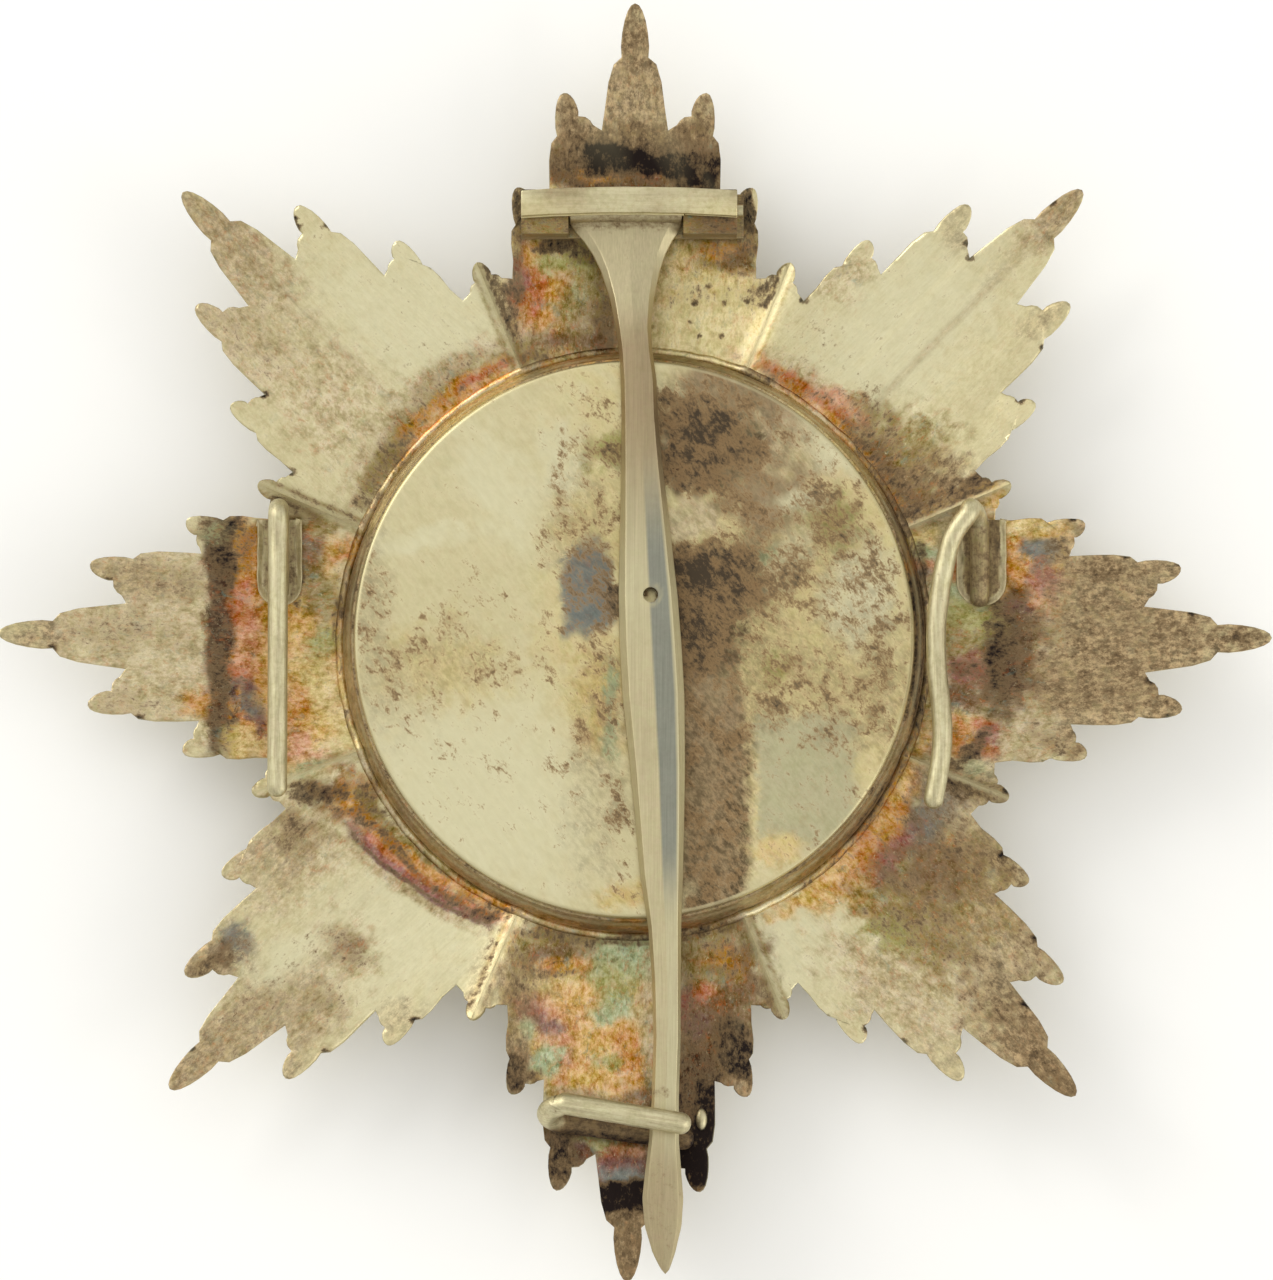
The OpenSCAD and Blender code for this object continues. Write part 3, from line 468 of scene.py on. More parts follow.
LID_MATTE_AND_SHADOW: Rows = [
    # Right of the pin: dull grain with painted shadow
    (713, 780, 40, 134, 1, 0.1, 0, 5), (730, 620, 60, 110, 0.6, 0.4, 0, 3),
    (740, 440, 80, 56, 0.42, 0.5, 20), (700, 395, 50, 14, 0.5, 0.6, 6), (820, 540, 50, 50, 0.45, 0.6),
    (840, 660, 60, 60, 0.4, 0.7), (880, 690, 26, 60, 0.45, 0.6, 10), (690, 525, 30, 22, 0.3, 0.4),
    (372, 620, 18, 80, 0.36, 0.5, 0, 3), (450, 660, 50, 30, 0.34, 0.7), (585, 520, 34, 60, 0.34, 0.7),
    (600, 760, 26, 100, 0.4, 0.6, 0, 3), (390, 690, 40, 40, 0.25, 0.8),
]
LID_GRIME_AND_SHADOW: Rows = [
    (800, 600, 112, 155, 0.5, 0.4, 0, 3), (590, 600, 40, 200, 0.32, 0.6, 0, 3),
    (430, 660, 90, 60, 0.36, 0.7), (800, 785, 48, 70, 0.06, 0.2, 0, 4), (750, 410, 90, 50, 0.4, 0.6, 20),
    # Beside and right of the pin: grime with painted shadow and reflection
    (706, 450, 54, 60, 0.62, 0.3, 0, 3), (697, 440, 40, 42, 1, 0.35, 0, 3), (672, 412, 22, 14, 0.84),
    (702, 480, 44, 22, 0.8, 0.4, 0, 3), (742, 452, 28, 24, 0.86, 0.5, -20), (740, 480, 18, 14, 0.62, 0.6),
    (695, 498, 34, 8, 0.5), (692, 524, 26, 20, 0, 0.3, 0, 3), (668, 445, 6, 14, 0.2),
    (726, 574, 72, 32, 0.62, 0.3, 0, 3), (704, 578, 46, 32, 1.16, 0.3, 0, 3),
    (690, 628, 26, 54, 1.2, 0.3, 0, 3), (692, 676, 28, 36, 0.92, 0.4, 0, 3), (744, 622, 28, 38, 0.7, 0.6),
    (768, 588, 30, 22, 0.84), (765, 548, 28, 20, 0.54, 0.6), (792, 580, 16, 14, 0.66),
    (778, 566, 20, 12, 0.5), (820, 515, 24, 14, 0.62), (812, 485, 8, 14, 0.52, 0.6),
    (800, 640, 50, 44, 0.36, 0.8), (785, 670, 18, 18, 0.52, 0.6), (870, 660, 26, 50, 0.4, 0.7),
    (850, 710, 34, 26, 0.46, 0.6), (815, 745, 20, 16, 0.44, 0.6), (760, 715, 26, 10, 0.5, 0.6),
    (845, 760, 20, 20, 0.36, 0.7), (700, 690, 24, 26, 0.62, 0.6), (690, 760, 10, 80, 0.66, 0.5, 0, 3),
    (714, 790, 34, 112, 0.36, 0.25, 0, 4), (705, 860, 24, 40, 0.46, 0.7),
    (588, 588, 28, 46, 0.36, 0.2, 0, 3), (604, 588, 16, 36, 0.72), (596, 545, 26, 14, 0.6),
    (585, 505, 22, 26, 0.42, 0.7), (580, 525, 34, 12, 0.44, 0.7), (600, 452, 26, 14, 0.48, 0.6),
    (575, 450, 18, 8, 0.4, 0.6), (594, 425, 26, 18, 0.3, 0.8), (545, 540, 12, 34, 0.32, 0.7, 10),
    (543, 657, 12, 15, 0.56, 0.3), (500, 672, 20, 10, 0.6), (440, 680, 18, 12, 0.62, 0.5, 20),
    (468, 640, 10, 16, 0.56, 0.6), (480, 600, 20, 26, 0.3, 0.8), (440, 665, 70, 40, 0.34, 0.7),
    (372, 620, 20, 70, 0.44, 0.5, 0, 3), (385, 690, 30, 34, 0.38, 0.7), (370, 570, 12, 26, 0.3, 0.7),
    (415, 733, 9, 6, 0.48), (369, 736, 6, 6, 0.44), (575, 655, 30, 20, 0.3, 0.8),
    (605, 690, 12, 34, 0.44, 0.6), (592, 735, 20, 30, 0.4, 0.7), (612, 790, 12, 16, 0.6),
    (615, 830, 14, 26, 0.48, 0.6), (630, 860, 10, 30, 0.34, 0.7), (620, 895, 24, 10, 0.4, 0.6),
    (548, 764, 12, 10, 0.24, 0.8), (520, 892, 8, 5, 0.26, 0.8), (470, 745, 60, 60, 0.14, 0.9),
]
# Stains of the drum's wall and of its solder seam
WALL_FILM: Rows = [
    (590, 357, 110, 12, GOLD, 0.6), (700, 362, 80, 14, OLIVE, 0.6, 12), (480, 400, 70, 20, STRAW, 0.5, -38),
    (385, 480, 20, 60, TAN, 0.5, 30), (830, 430, 90, 20, CREAM, 0.5, 42),
    (870, 470, 50, 16, STRAW, 0.5, 46), (600, 935, 120, 16, BROWN, 0.6), (660, 930, 50, 8, ORANGE, 0.6),
    (540, 920, 50, 8, GOLD, 0.6, 14), (914, 600, 16, 110, BROWN, 0.6), (915, 560, 8, 20, ORANGE, 0.6),
    (912, 690, 8, 40, TAN, 0.6, 5), (430, 868, 90, 18, STRAW, 0.6, 42), (370, 790, 16, 40, STRAW, 0.6, -25),
    (830, 870, 80, 20, OLIVE, 0.6, -42),
]
WALL_GRIME: Rows = [
    (600, 944, 90, 6, 0.85, 0.5, 0, 3), (700, 934, 50, 6, 0.75, 0.5, -8),
    (820, 884, 90, 10, 0.75, 0.5, -40, 3), (880, 800, 12, 60, 0.6, 0.5, 38),
    (920, 600, 8, 90, 0.85, 0.5, 0, 3), (922, 700, 10, 50, 0.8, 0.5, 10), (905, 530, 8, 40, 0.7, 0.5, -20),
    (345, 740, 8, 50, 0.65, 0.5, -12), (350, 590, 6, 50, 0.4, 0.5, 10),
]


@dataclass(frozen=True)
class Spread:
    """How deposits creep over the metal: noise drags their borders and frays them."""

    # How far noise drags the borders, in pixels, and how wide its lumps are, in mm
    drag: Pairs = ((8.0, 3.2), (4.0, 1.1))
    fray_size: float = 0.75

    def carry(self, points: np.ndarray) -> np.ndarray:
        """Where points of the metal lie among the stains.

        Args:
            points: Places in metres, one a row.

        Returns:
            Rows of the place across and down in the photograph, and of the fraying.
        """
        places = VIEW.to_px(points)
        for reach, size in self.drag:
            places = places + reach * turbulence(points, size, reach)[:, :2]
        return np.hstack([places, turbulence(points, self.fray_size, 8.0)[:, :1]])


NEAR = Spread()
FAR = Spread(((13.0, 2.2), (6.0, 0.8)))
# Along the drum the borders are sharper
HALO_NEAR = Spread(((2.5, 2.8), (1.5, 0.9)))
HALO_FAR = Spread(((4.5, 2.0), (2.0, 0.6)))


@dataclass(frozen=True)
class Stains:
    """A table of stains, painted over each other in order on what lies under them."""

    start: float | Tone
    rows: Rows
    # Whether the places are given round the drum, in degrees and as a radius
    around: bool = False
    fray: float = 0.9
    # Pixels in a degree round the drum
    arc: float = 5.2

    def paint(self, where: np.ndarray, under: np.ndarray | None = None) -> np.ndarray:
        """Works out the field at places among the stains.

        Args:
            where: Rows that a spread has carried.
            under: What lies under the stains, if it isn't the start.

        Returns:
            One value for each place.
        """
        value = np.tile(self.goal(self.start), (len(where), 1)) if under is None else under
        places, stretch = where[:, :2], 1.0
        if self.around:
            stretch = self.arc
            right, up = places[:, 0] - VIEW.axis_px[0], VIEW.axis_px[1] - places[:, 1]
            angle = np.degrees(np.arctan2(up, right)) % 360
            places = np.stack([angle * stretch, np.hypot(right, up)], axis=1)
        for row in self.rows:
            stain = Stain(*row)
            cos, sin = (f(math.radians(stain.turn)) for f in (math.cos, math.sin))
            across, down = places[:, 0] - stain.x * stretch, places[:, 1] - stain.y
            u = np.abs(across * cos + down * sin) / stain.half_x / stretch
            v = np.abs(down * cos - across * sin) / stain.half_y
            away = (u**stain.square + v**stain.square) ** (1 / stain.square)
            away += self.fray * where[:, 2] * stain.soft
            share = fall(1 - stain.soft, 1 + stain.soft, away)[:, None]
            value = value * (1 - share) + self.goal(stain.goal) * share
        return value

    @staticmethod
    def goal(value: float | Tone) -> np.ndarray:
        """What a row paints: a plain value, or a tone's colour and restlessness."""
        if isinstance(value, Tone):
            return np.array([*linear(value.colour)[:3], value.rest])
        return np.array([value])


def blend_tones(*layers: tuple[Tone, np.ndarray]) -> np.ndarray:
    """Lays tones over each other.

    Args:
        layers: Each tone and how much of it covers what lies under it, for each place.

    Returns:
        A row of colour and restlessness for each place.
    """
    made = np.zeros((len(layers[0][1]), 4))
    for tone, share in layers:
        part = np.clip(share, 0, 1)[:, None]
        made = made * (1 - part) + Stains.goal(tone) * part
    return made


def store(mesh: Mesh, **fields: np.ndarray) -> None:
    """Keeps fields on a mesh under their names, one row a vertex."""
    for name, values in fields.items():
        kind, key = {
            Field.TONE: ("FLOAT_COLOR", "color"), Field.UNDER: ("FLOAT_COLOR", "color"),
            Field.LAY: ("FLOAT_VECTOR", "vector"),
        }.get(Field(name), ("FLOAT", "value"))
        found = mesh.attributes.get(name) or mesh.attributes.new(name, kind, "POINT")
        found.data.foreach_set(key, values.astype(np.float32).ravel())


def points_of(mesh: Mesh) -> np.ndarray:
    """The places of a mesh's vertices, one a row."""
    flat = np.zeros(len(mesh.vertices) * 3)
    mesh.vertices.foreach_get("co", flat)
    return flat.reshape(-1, 3)


def spread_film(
    mesh: Mesh, start: Tone, rows: Rows, halo: Rows | None = None, keep: np.ndarray | float = 1.0,
    lines: tuple[tuple[Tone, np.ndarray], ...] = (),
) -> None:
    """Paints both layers of a film, which differ in where their borders lie.

    Args:
        mesh: The piece's mesh.
        start: The tone of the metal between the stains.
        rows: The stains.
        halo: More stains on top of them, placed round the drum.
        keep: How much of the film is left, for each vertex: handling wears it away, and so do the crests'
            painted highlights.
        lines: Tones laid on the stains along the form, such as painted shade beside the folds and ribs, and
            their share for each vertex.
    """
    base = Stains.goal(start)
    points = points_of(mesh)
    for field, spread, round_drum in ((Field.TONE, NEAR, HALO_NEAR), (Field.UNDER, FAR, HALO_FAR)):
        tone = Stains(start, rows).paint(spread.carry(points))
        if halo:
            tone = Stains(start, halo, around=True).paint(round_drum.carry(points), tone)
        tone = base + (tone - base) * keep
        for line, share in lines:
            part = np.clip(share, 0, 1)[:, None]
            tone = tone * (1 - part) + Stains.goal(line) * part
        store(mesh, **{field.value: tone})


class Nodes:
    """A tree of shader nodes, with a short method for each kind of step in it."""

    def __init__(self, tree: bpy.types.NodeTree) -> None:
        """Takes the tree that the nodes are added to."""
        self.tree = tree

    def add(
        self, kind: str, settings: dict[str, object] | None = None,
        links: dict[str | int, object] | None = None,
    ) -> bpy.types.Node:
        """Adds a node with its settings and links.

        Args:
            kind: The node's type, without the words that all types start with.
            settings: Values of its own properties.
            links: What goes into each input: a socket, or a value for the input itself.

        Returns:
            The new node.
        """
        node = self.tree.nodes.new("ShaderNode" + kind)
        for name, value in (settings or {}).items():
            setattr(node, name, value)
        for key, value in (links or {}).items():
            if isinstance(value, Socket):
                self.tree.links.new(value, node.inputs[key])
            else:
                node.inputs[key].default_value = value
        return node

    def place(self) -> Socket:
        """The place on the piece, in metres."""
        return self.add("TexCoord").outputs["Object"]

    def field(self, field: Field, part: str = "Fac") -> Socket:
        """What the mesh keeps of a field."""
        return self.add("Attribute", {"attribute_name": field.value}).outputs[part]

    def turned(self, vector: Socket, size: Triple, turn: float) -> Socket:
        """Places measured in units of a given size, along axes turned on the piece."""
        links = {0: vector, "Rotation": (0.0, 0.0, math.radians(turn)), "Scale": size}
        return self.add("Mapping", {"vector_type": "TEXTURE"}, links).outputs[0]

    def noise(self, vector: Socket, size: float, rough: float, warp: float = 0.0) -> Socket:
        """Noise whose widest lumps have a given size."""
        links = {"Vector": vector, "Scale": 1 / size, "Detail": 6.0, "Roughness": rough}
        return self.add("TexNoise", {}, {**links, "Distortion": warp}).outputs[0]

    def calc(self, kind: str, *values: object, clamp: bool = False) -> Socket:
        """Does one sum on sockets or numbers."""
        settings = {"operation": kind, "use_clamp": clamp}
        return self.add("Math", settings, dict(enumerate(values))).outputs[0]

    def remap(self, value: Socket, *ends: float, kind: str = "LINEAR") -> Socket:
        """Carries a value from one range to another, by default 0 to 1, held inside it."""
        links = {"Value": value, **dict(enumerate(ends, 1))}
        return self.add("MapRange", {"interpolation_type": kind}, links).outputs[0]

    def mix(self, share: object, under: object, over: object, kind: str = "MIX") -> Socket:
        """Lays one colour over another."""
        settings = {"data_type": "RGBA", "blend_type": kind}
        return self.add("Mix", settings, {0: share, 6: under, 7: over}).outputs[2]


@dataclass(frozen=True)
class Silver:
    """Silver of one piece: how it was worked, how it has toned and how dull it is.

    The eye sees champagne metal under soft light, with films of colour, brown specks and
    dull grain where the mesh says so, and fine marks of its working everywhere.
    """

    name: str
    # The film's tone where the mesh carries none
    bare: Tone | None = None
    # How much noise stirs the film's lightness, and how wide its lumps are in mm
    stir: float = 0.60
    stir_size: float = 1.3
    # How wide the patches are in which the film under shows through, 0 for no such film
    mingle_size: float = 0.0
    # Flecks on the film: orange-red, blue-green, dark and bare
    ember: str = "#b8602c"
    teal: str = "#6d9186"
    dark_fleck: str = "#5d4430"
    bare_fleck: str = "#e2d7aa"
    fleck: float = 0.55
    # Specks: their width in mm, how long they are drawn out, and their turn in degrees
    speck: Triple = (0.34, 1.0, 0.0)
    speck_warp: float = 0.1
    # How strongly fine and wide noise break the grime up, and how soft its borders are
    speck_contrast: float = 3.0
    blot_contrast: float = 1.5
    speck_soft: float = 0.34
    # Colours of grime, which also colour the painted shade that the mesh carries
    thin_grime: str = "#806949"
    thin_cover: float = 0.92
    thick_grime: str = "#1f1613"
    tan: str = "#a08b69"
    grain_size: float = 0.36
    # Colour of bright edges, worn ones and painted highlights alike
    rim: str = "#c2b890"
    rim_cover: float = 0.62
    smooth_roughness: float = 0.30
    dull_roughness: float = 0.52
    # How much the specks roughen the metal, and how much metal shows through grime
    speck_roughness: float = 0.16
    grimy_metal: float = 0.6
    specular: float = 0.2
    # Scratches: length, width in millimetres, how strong, and turn in degrees
    scratch: tuple[float, float, float, float] = (6.0, 0.10, 0.10, 0.0)
    bump: float = 0.012
    base_grime: float = 0.0
    # Whether the mesh says which way the file ran
    laid: bool = False

    def material(self) -> bpy.types.Material:
        """Makes the material of this silver, or finds it where it is made already."""
        found = bpy.data.materials.get(self.name)
        if found:
            return found
        made = bpy.data.materials.new(self.name)
        made.use_nodes = True
        made.node_tree.nodes.clear()
        nodes = Nodes(made.node_tree)
        field = {f: nodes.field(f) for f in (Field.GRIME_AND_SHADE, Field.MATTE, Field.RIM)}
        links = {0: nodes.place(), "Scale": 1 / MM}
        in_mm = nodes.add("VectorMath", {"operation": "SCALE"}, links).outputs[0]
        lay = nodes.field(Field.LAY, "Vector") if self.laid else in_mm
        width, length, turn = self.speck
        drawn = nodes.turned(lay, (width, width * length, width), turn)
        stir = nodes.noise(in_mm, self.stir_size, 0.70, 0.4)
        speck = nodes.noise(drawn, 1.0, 0.78, self.speck_warp)
        grain = nodes.noise(drawn, self.grain_size / width, 0.80)
        film = self._film(nodes, in_mm, drawn, stir, speck)
        colour, grime = self._stained(nodes, film, field, speck, stir, grain)
        lit = nodes.mix(self.scratch[2], colour, self._scratches(nodes, lay), "OVERLAY")
        edged = nodes.calc("MULTIPLY", field[Field.RIM], self.rim_cover, clamp=True)
        dull = nodes.calc("MAXIMUM", grime, field[Field.MATTE])
        dull = nodes.calc("MAXIMUM", dull, field[Field.RIM])
        rough = nodes.remap(dull, 0, 1, self.smooth_roughness, self.dull_roughness)
        relief = nodes.calc("MULTIPLY_ADD", grain, 0.8, stir)
        bump = {"Strength": 1.0, "Distance": self.bump * MM, "Height": relief}
        links = {
            "Base Color": nodes.mix(edged, lit, linear(self.rim)),
            "Roughness": nodes.calc("MULTIPLY_ADD", speck, self.speck_roughness, rough),
            "Metallic": nodes.remap(grime, 0, 1, 1.0, self.grimy_metal),
            "Specular IOR Level": self.specular, "Normal": nodes.add("Bump", {}, bump).outputs[0],
        }
        shader = nodes.add("BsdfPrincipled", {}, links).outputs[0]
        nodes.add("OutputMaterial", {}, {"Surface": shader})
        return made

    def _film(self, nodes: Nodes, in_mm: Socket, drawn: Socket, stir: Socket, speck: Socket) -> Socket:
        """Colour of the film, uneven and flecked where it is restless.

        Args:
            nodes: The material's nodes.
            in_mm: The place on the piece in millimetres.
            drawn: The place in widths of a speck.
            stir: Wide noise.
            speck: Fine noise.

        Returns:
            The colour.
        """
        if self.bare:
            tone, restless = linear(self.bare.colour), self.bare.rest
        else:
            tone, restless = (nodes.field(Field.TONE, part) for part in ("Color", "Alpha"))
        if self.mingle_size:
            patches = nodes.noise(in_mm, self.mingle_size, 0.8, 0.8)
            shows = nodes.remap(patches, 0.46, 0.54)
            tone = nodes.mix(shows, tone, nodes.field(Field.UNDER, "Color"))
            restless = nodes.calc("MAXIMUM", restless, nodes.field(Field.UNDER, "Alpha"))
        both = nodes.calc("MULTIPLY_ADD", speck, 1.1, stir)
        swing = nodes.remap(both, 0.76, 1.34, -self.stir, self.stir)
        change = nodes.calc("MULTIPLY", swing, restless)
        sheen = nodes.noise(in_mm, 0.8 * self.stir_size, 0.75, 1.0)
        hue_swing = nodes.remap(sheen, 0.25, 0.75, -0.03, 0.03)
        links = {
            "Hue": nodes.calc("MULTIPLY_ADD", hue_swing, restless, 0.5),
            "Saturation": nodes.calc("MULTIPLY_ADD", change, -0.5, 1.0),
            "Value": nodes.calc("ADD", change, 1.0), "Color": tone,
        }
        flecked = nodes.add("HueSaturation", {}, links).outputs[0]
        for size, low, high, colour in (
            (1.5, 0.53, 0.66, self.ember), (2.3, 0.55, 0.70, self.teal),
            (1.1, 0.45, 0.34, self.dark_fleck), (0.6, 0.57, 0.68, self.bare_fleck),
        ):
            flecks = nodes.noise(drawn, size, 0.8, 0.6)
            there = nodes.remap(flecks, low, high, 0.0, self.fleck)
            share = nodes.calc("MULTIPLY", there, restless)
            flecked = nodes.mix(share, flecked, linear(colour))
        return flecked

    def _stained(
        self, nodes: Nodes, film: Socket, field: dict[Field, Socket], speck: Socket, stir: Socket,
        grain: Socket,
    ) -> tuple[Socket, Socket]:
        """Lays the dull grain, and the grime with its painted shade, over the film.

        Args:
            nodes: The material's nodes.
            film: The film's colour.
            field: The values on the mesh.
            speck: Noise of the specks' size.
            stir: Wide noise.
            grain: Noise of the grain's size.

        Returns:
            The colour, and how much grime and painted shade there is.
        """
        uneven = nodes.remap(stir, 0.4, 0.6, 0.6, 1.15)
        dulled = nodes.calc("MULTIPLY", field[Field.MATTE], uneven, clamp=True)
        toned = nodes.mix(dulled, film, linear(self.tan))
        grain_light = nodes.remap(grain, 0.41, 0.59, 0.42, 1.58)
        grained = nodes.mix(dulled, toned, grain_light, "MULTIPLY")
        dirt = nodes.calc("ADD", field[Field.GRIME_AND_SHADE], self.base_grime)
        fine = nodes.calc("MULTIPLY_ADD", speck, self.speck_contrast, dirt)
        speckled = nodes.calc("MULTIPLY_ADD", stir, self.blot_contrast, fine)
        middle = 0.5 * (1 + self.speck_contrast + self.blot_contrast)
        soft = self.speck_soft
        grime = nodes.remap(speckled, middle - soft, middle + soft, kind="SMOOTHSTEP")
        thick = nodes.remap(speckled, middle + 0.05, middle + 0.45 + soft)
        # The deposit's colours show grime and painted shade alike
        deposit_and_shade = nodes.mix(thick, linear(self.thin_grime), linear(self.thick_grime))
        thin = nodes.calc("MULTIPLY", grime, self.thin_cover)
        cover = nodes.calc("MAXIMUM", thin, thick)
        return nodes.mix(cover, grained, deposit_and_shade), grime

    def _scratches(self, nodes: Nodes, lay: Socket) -> Socket:
        """Grey streaks of the last polish, a half grey where there is no streak."""
        length, width, _, turn = self.scratch
        streaks = nodes.noise(nodes.turned(lay, (width, length, width), turn), 1.0, 0.6)
        return nodes.remap(streaks, 0.25, 0.75)


# Cast and filed silver: half bright, with films of colour and dull grain
ARMS_SILVER = Silver(
    "cast_silver_toned", stir=0.72, mingle_size=1.1, speck=(0.32, 1.7, 0.0),
    scratch=(5.0, 0.12, 0.09, 0.0), bump=0.018, laid=True,
)
# Rolled sheet, wiped often: brighter and smoother, with brown and blue-grey specks
LID_SILVER = Silver(
    "rolled_silver_sheet", stir=0.40, stir_size=1.9, mingle_size=1.3, speck=(0.36, 2.1, 40.0),
    speck_warp=0.4, speck_contrast=2.9, blot_contrast=2.4, speck_soft=0.24, fleck=0.25,
    smooth_roughness=0.24, dull_roughness=0.46, tan="#806c4f", thin_grime="#947852",
    thick_grime="#463b2d", scratch=(4.0, 0.25, 0.05, 35.0), bump=0.006,
)
# Soldered drum wall, never polished: brown, with streaks round it
WALL_SILVER = Silver(
    "drum_wall_silver", base_grime=-0.02, mingle_size=1.0, fleck=0.5, speck=(0.30, 1.0, 0.0),
    speck_soft=0.30, smooth_roughness=0.40, dull_roughness=0.6,
)
# Turned silver of the front, kept bright by wear against its box
FRONT_SILVER = Silver(
    "turned_silver_front", bare=PALE, speck_contrast=1.8, smooth_roughness=0.28,
    scratch=(0.5, 0.5, 0.05, 0.0),
)
# Folded strip of the hinge: pale on top, brown in its corners
STRIP_SILVER = Silver(
    "folded_strip_silver", base_grime=0.02, fleck=0.2, speck_contrast=1.6,
    scratch=(0.22, 4.0, 0.18, 0.0), smooth_roughness=0.34,
)
# Blocks under the strip, never polished: brown all over
BLOCK_SILVER = Silver(
    "hinge_block_silver", base_grime=0.10, speck=(0.3, 0.5, 0.0), smooth_roughness=0.42,
)
# Drawn wire, handled every time the star is worn: cream with faint dark dents
WIRE_SILVER = Silver(
    "drawn_silver_wire", fleck=0.1, base_grime=-0.02, speck_contrast=1.9, smooth_roughness=0.42,
    scratch=(2.5, 0.14, 0.30, 0.0), bump=0.008,
)
# The same wire, drawn across the star
CATCH_SILVER = replace(WIRE_SILVER, name="drawn_wire_catch", scratch=(2.5, 0.14, 0.3, 80.0))
# Wire of the hinge's rod and the drop of solder, as bright as the other wires
ROD_SILVER = Silver("drawn_silver_rod", bare=WIRE, base_grime=-0.1, smooth_roughness=0.36)
# Forged and filed pin: cream, mauve-grey towards the hinge, and blue-grey painted shade on the
# side that faces away from the light
PIN_SILVER = Silver(
    "filed_silver_pin", stir=0.12, fleck=0.0, base_grime=-0.04, speck_contrast=1.8, blot_contrast=0.9,
    smooth_roughness=0.32, scratch=(5.0, 0.09, 0.14, 0.0), bump=0.004,
)


def link_new(name: str, data: bpy.types.ID) -> Object:
    """Adds an object with its data to the scene."""
    made = bpy.data.objects.new(name, data)
    bpy.context.scene.collection.objects.link(made)
    return made


def mesh_object(bm: BMesh, name: str) -> Object:
    """Turns a bmesh, which is freed, into an object at the origin."""
    mesh = bpy.data.meshes.new(name)
    bm.to_mesh(mesh)
    bm.free()
    return link_new(name, mesh)


def bevel(bm: BMesh, edges: list[Edge], width: float, segments: int) -> list[Vert]:
    """Rounds edges by a width in millimetres, and gives the rounding's vertices."""
    made = bmesh.ops.bevel(
        bm, geom=edges, offset=width * MM, offset_type="OFFSET", affect="EDGES", segments=segments,
        profile=0.5, material=-1,
    )
    return made["verts"]


def cylinder(bm: BMesh, radius: float, length: float, sides: int, matrix: Matrix) -> list[Vert]:
    """Adds a closed cylinder, sized in millimetres, and gives its vertices."""
    ends = {"radius1": radius * MM, "radius2": radius * MM, "depth": length * MM}
    made = bmesh.ops.create_cone(bm, cap_ends=True, segments=sides, matrix=matrix, **ends)
    return made["verts"]


def unique(parts: Iterable) -> list:
    """Each part of a mesh once, in the order in which they came, so that every run is alike."""
    return list(dict.fromkeys(parts))


def merged_copy(node: Object) -> BMesh:
    """A CAD node's mesh as one closed skin, its loose triangles joined."""
    bm = bmesh.new()
    bm.from_mesh(node.data)
    bmesh.ops.remove_doubles(bm, verts=bm.verts, dist=WELD)
    bm.normal_update()
    return bm


def finished(bm: BMesh, name: str, silvers: list[Silver]) -> Object:
    """Turns a bmesh into an object at the origin with its materials.

    Args:
        bm: The mesh, in metres, which is freed.
        name: The piece's name.
        silvers: Its finishes, in the order of the faces' material numbers.

    Returns:
        The object.
    """
    made = mesh_object(bm, name)
    for silver in silvers:
        made.data.materials.append(silver.material())
    LOG.info("%s: %d faces", name, len(made.data.polygons))
    return made


def smooth_faces(bm: BMesh, sharp_angle: float) -> None:
    """Shades faces smooth, but for edges that turn by more than an angle in degrees."""
    for face in bm.faces:
        face.smooth = True
    limit = math.radians(sharp_angle)
    for edge in bm.edges:
        edge.smooth = not edge.is_manifold or edge.calc_face_angle() < limit


def refine(
    bm: BMesh, longest: Callable[[np.ndarray], np.ndarray],
    pick: Callable[[Face], bool] = lambda face: True,
) -> None:
    """Splits faces until their edges are short enough to carry the toning.

    Args:
        bm: The mesh.
        longest: Gives the longest edge allowed at places, all in millimetres.
        pick: Whether a face is one of those to split.
    """
    for _ in range(8):
        edges = unique(e for f in bm.faces if pick(f) for e in f.edges)
        middles = np.array([(e.verts[0].co + e.verts[1].co) / 2 for e in edges]) / MM
        limits = longest(middles) * MM
        long = [e for e, limit in zip(edges, limits) if e.calc_length() > limit]
        if not long:
            break
        bmesh.ops.subdivide_edges(bm, edges=long, cuts=1, use_single_edge=True)
        bmesh.ops.triangulate(bm, faces=[f for f in bm.faces if len(f.verts) > 3])


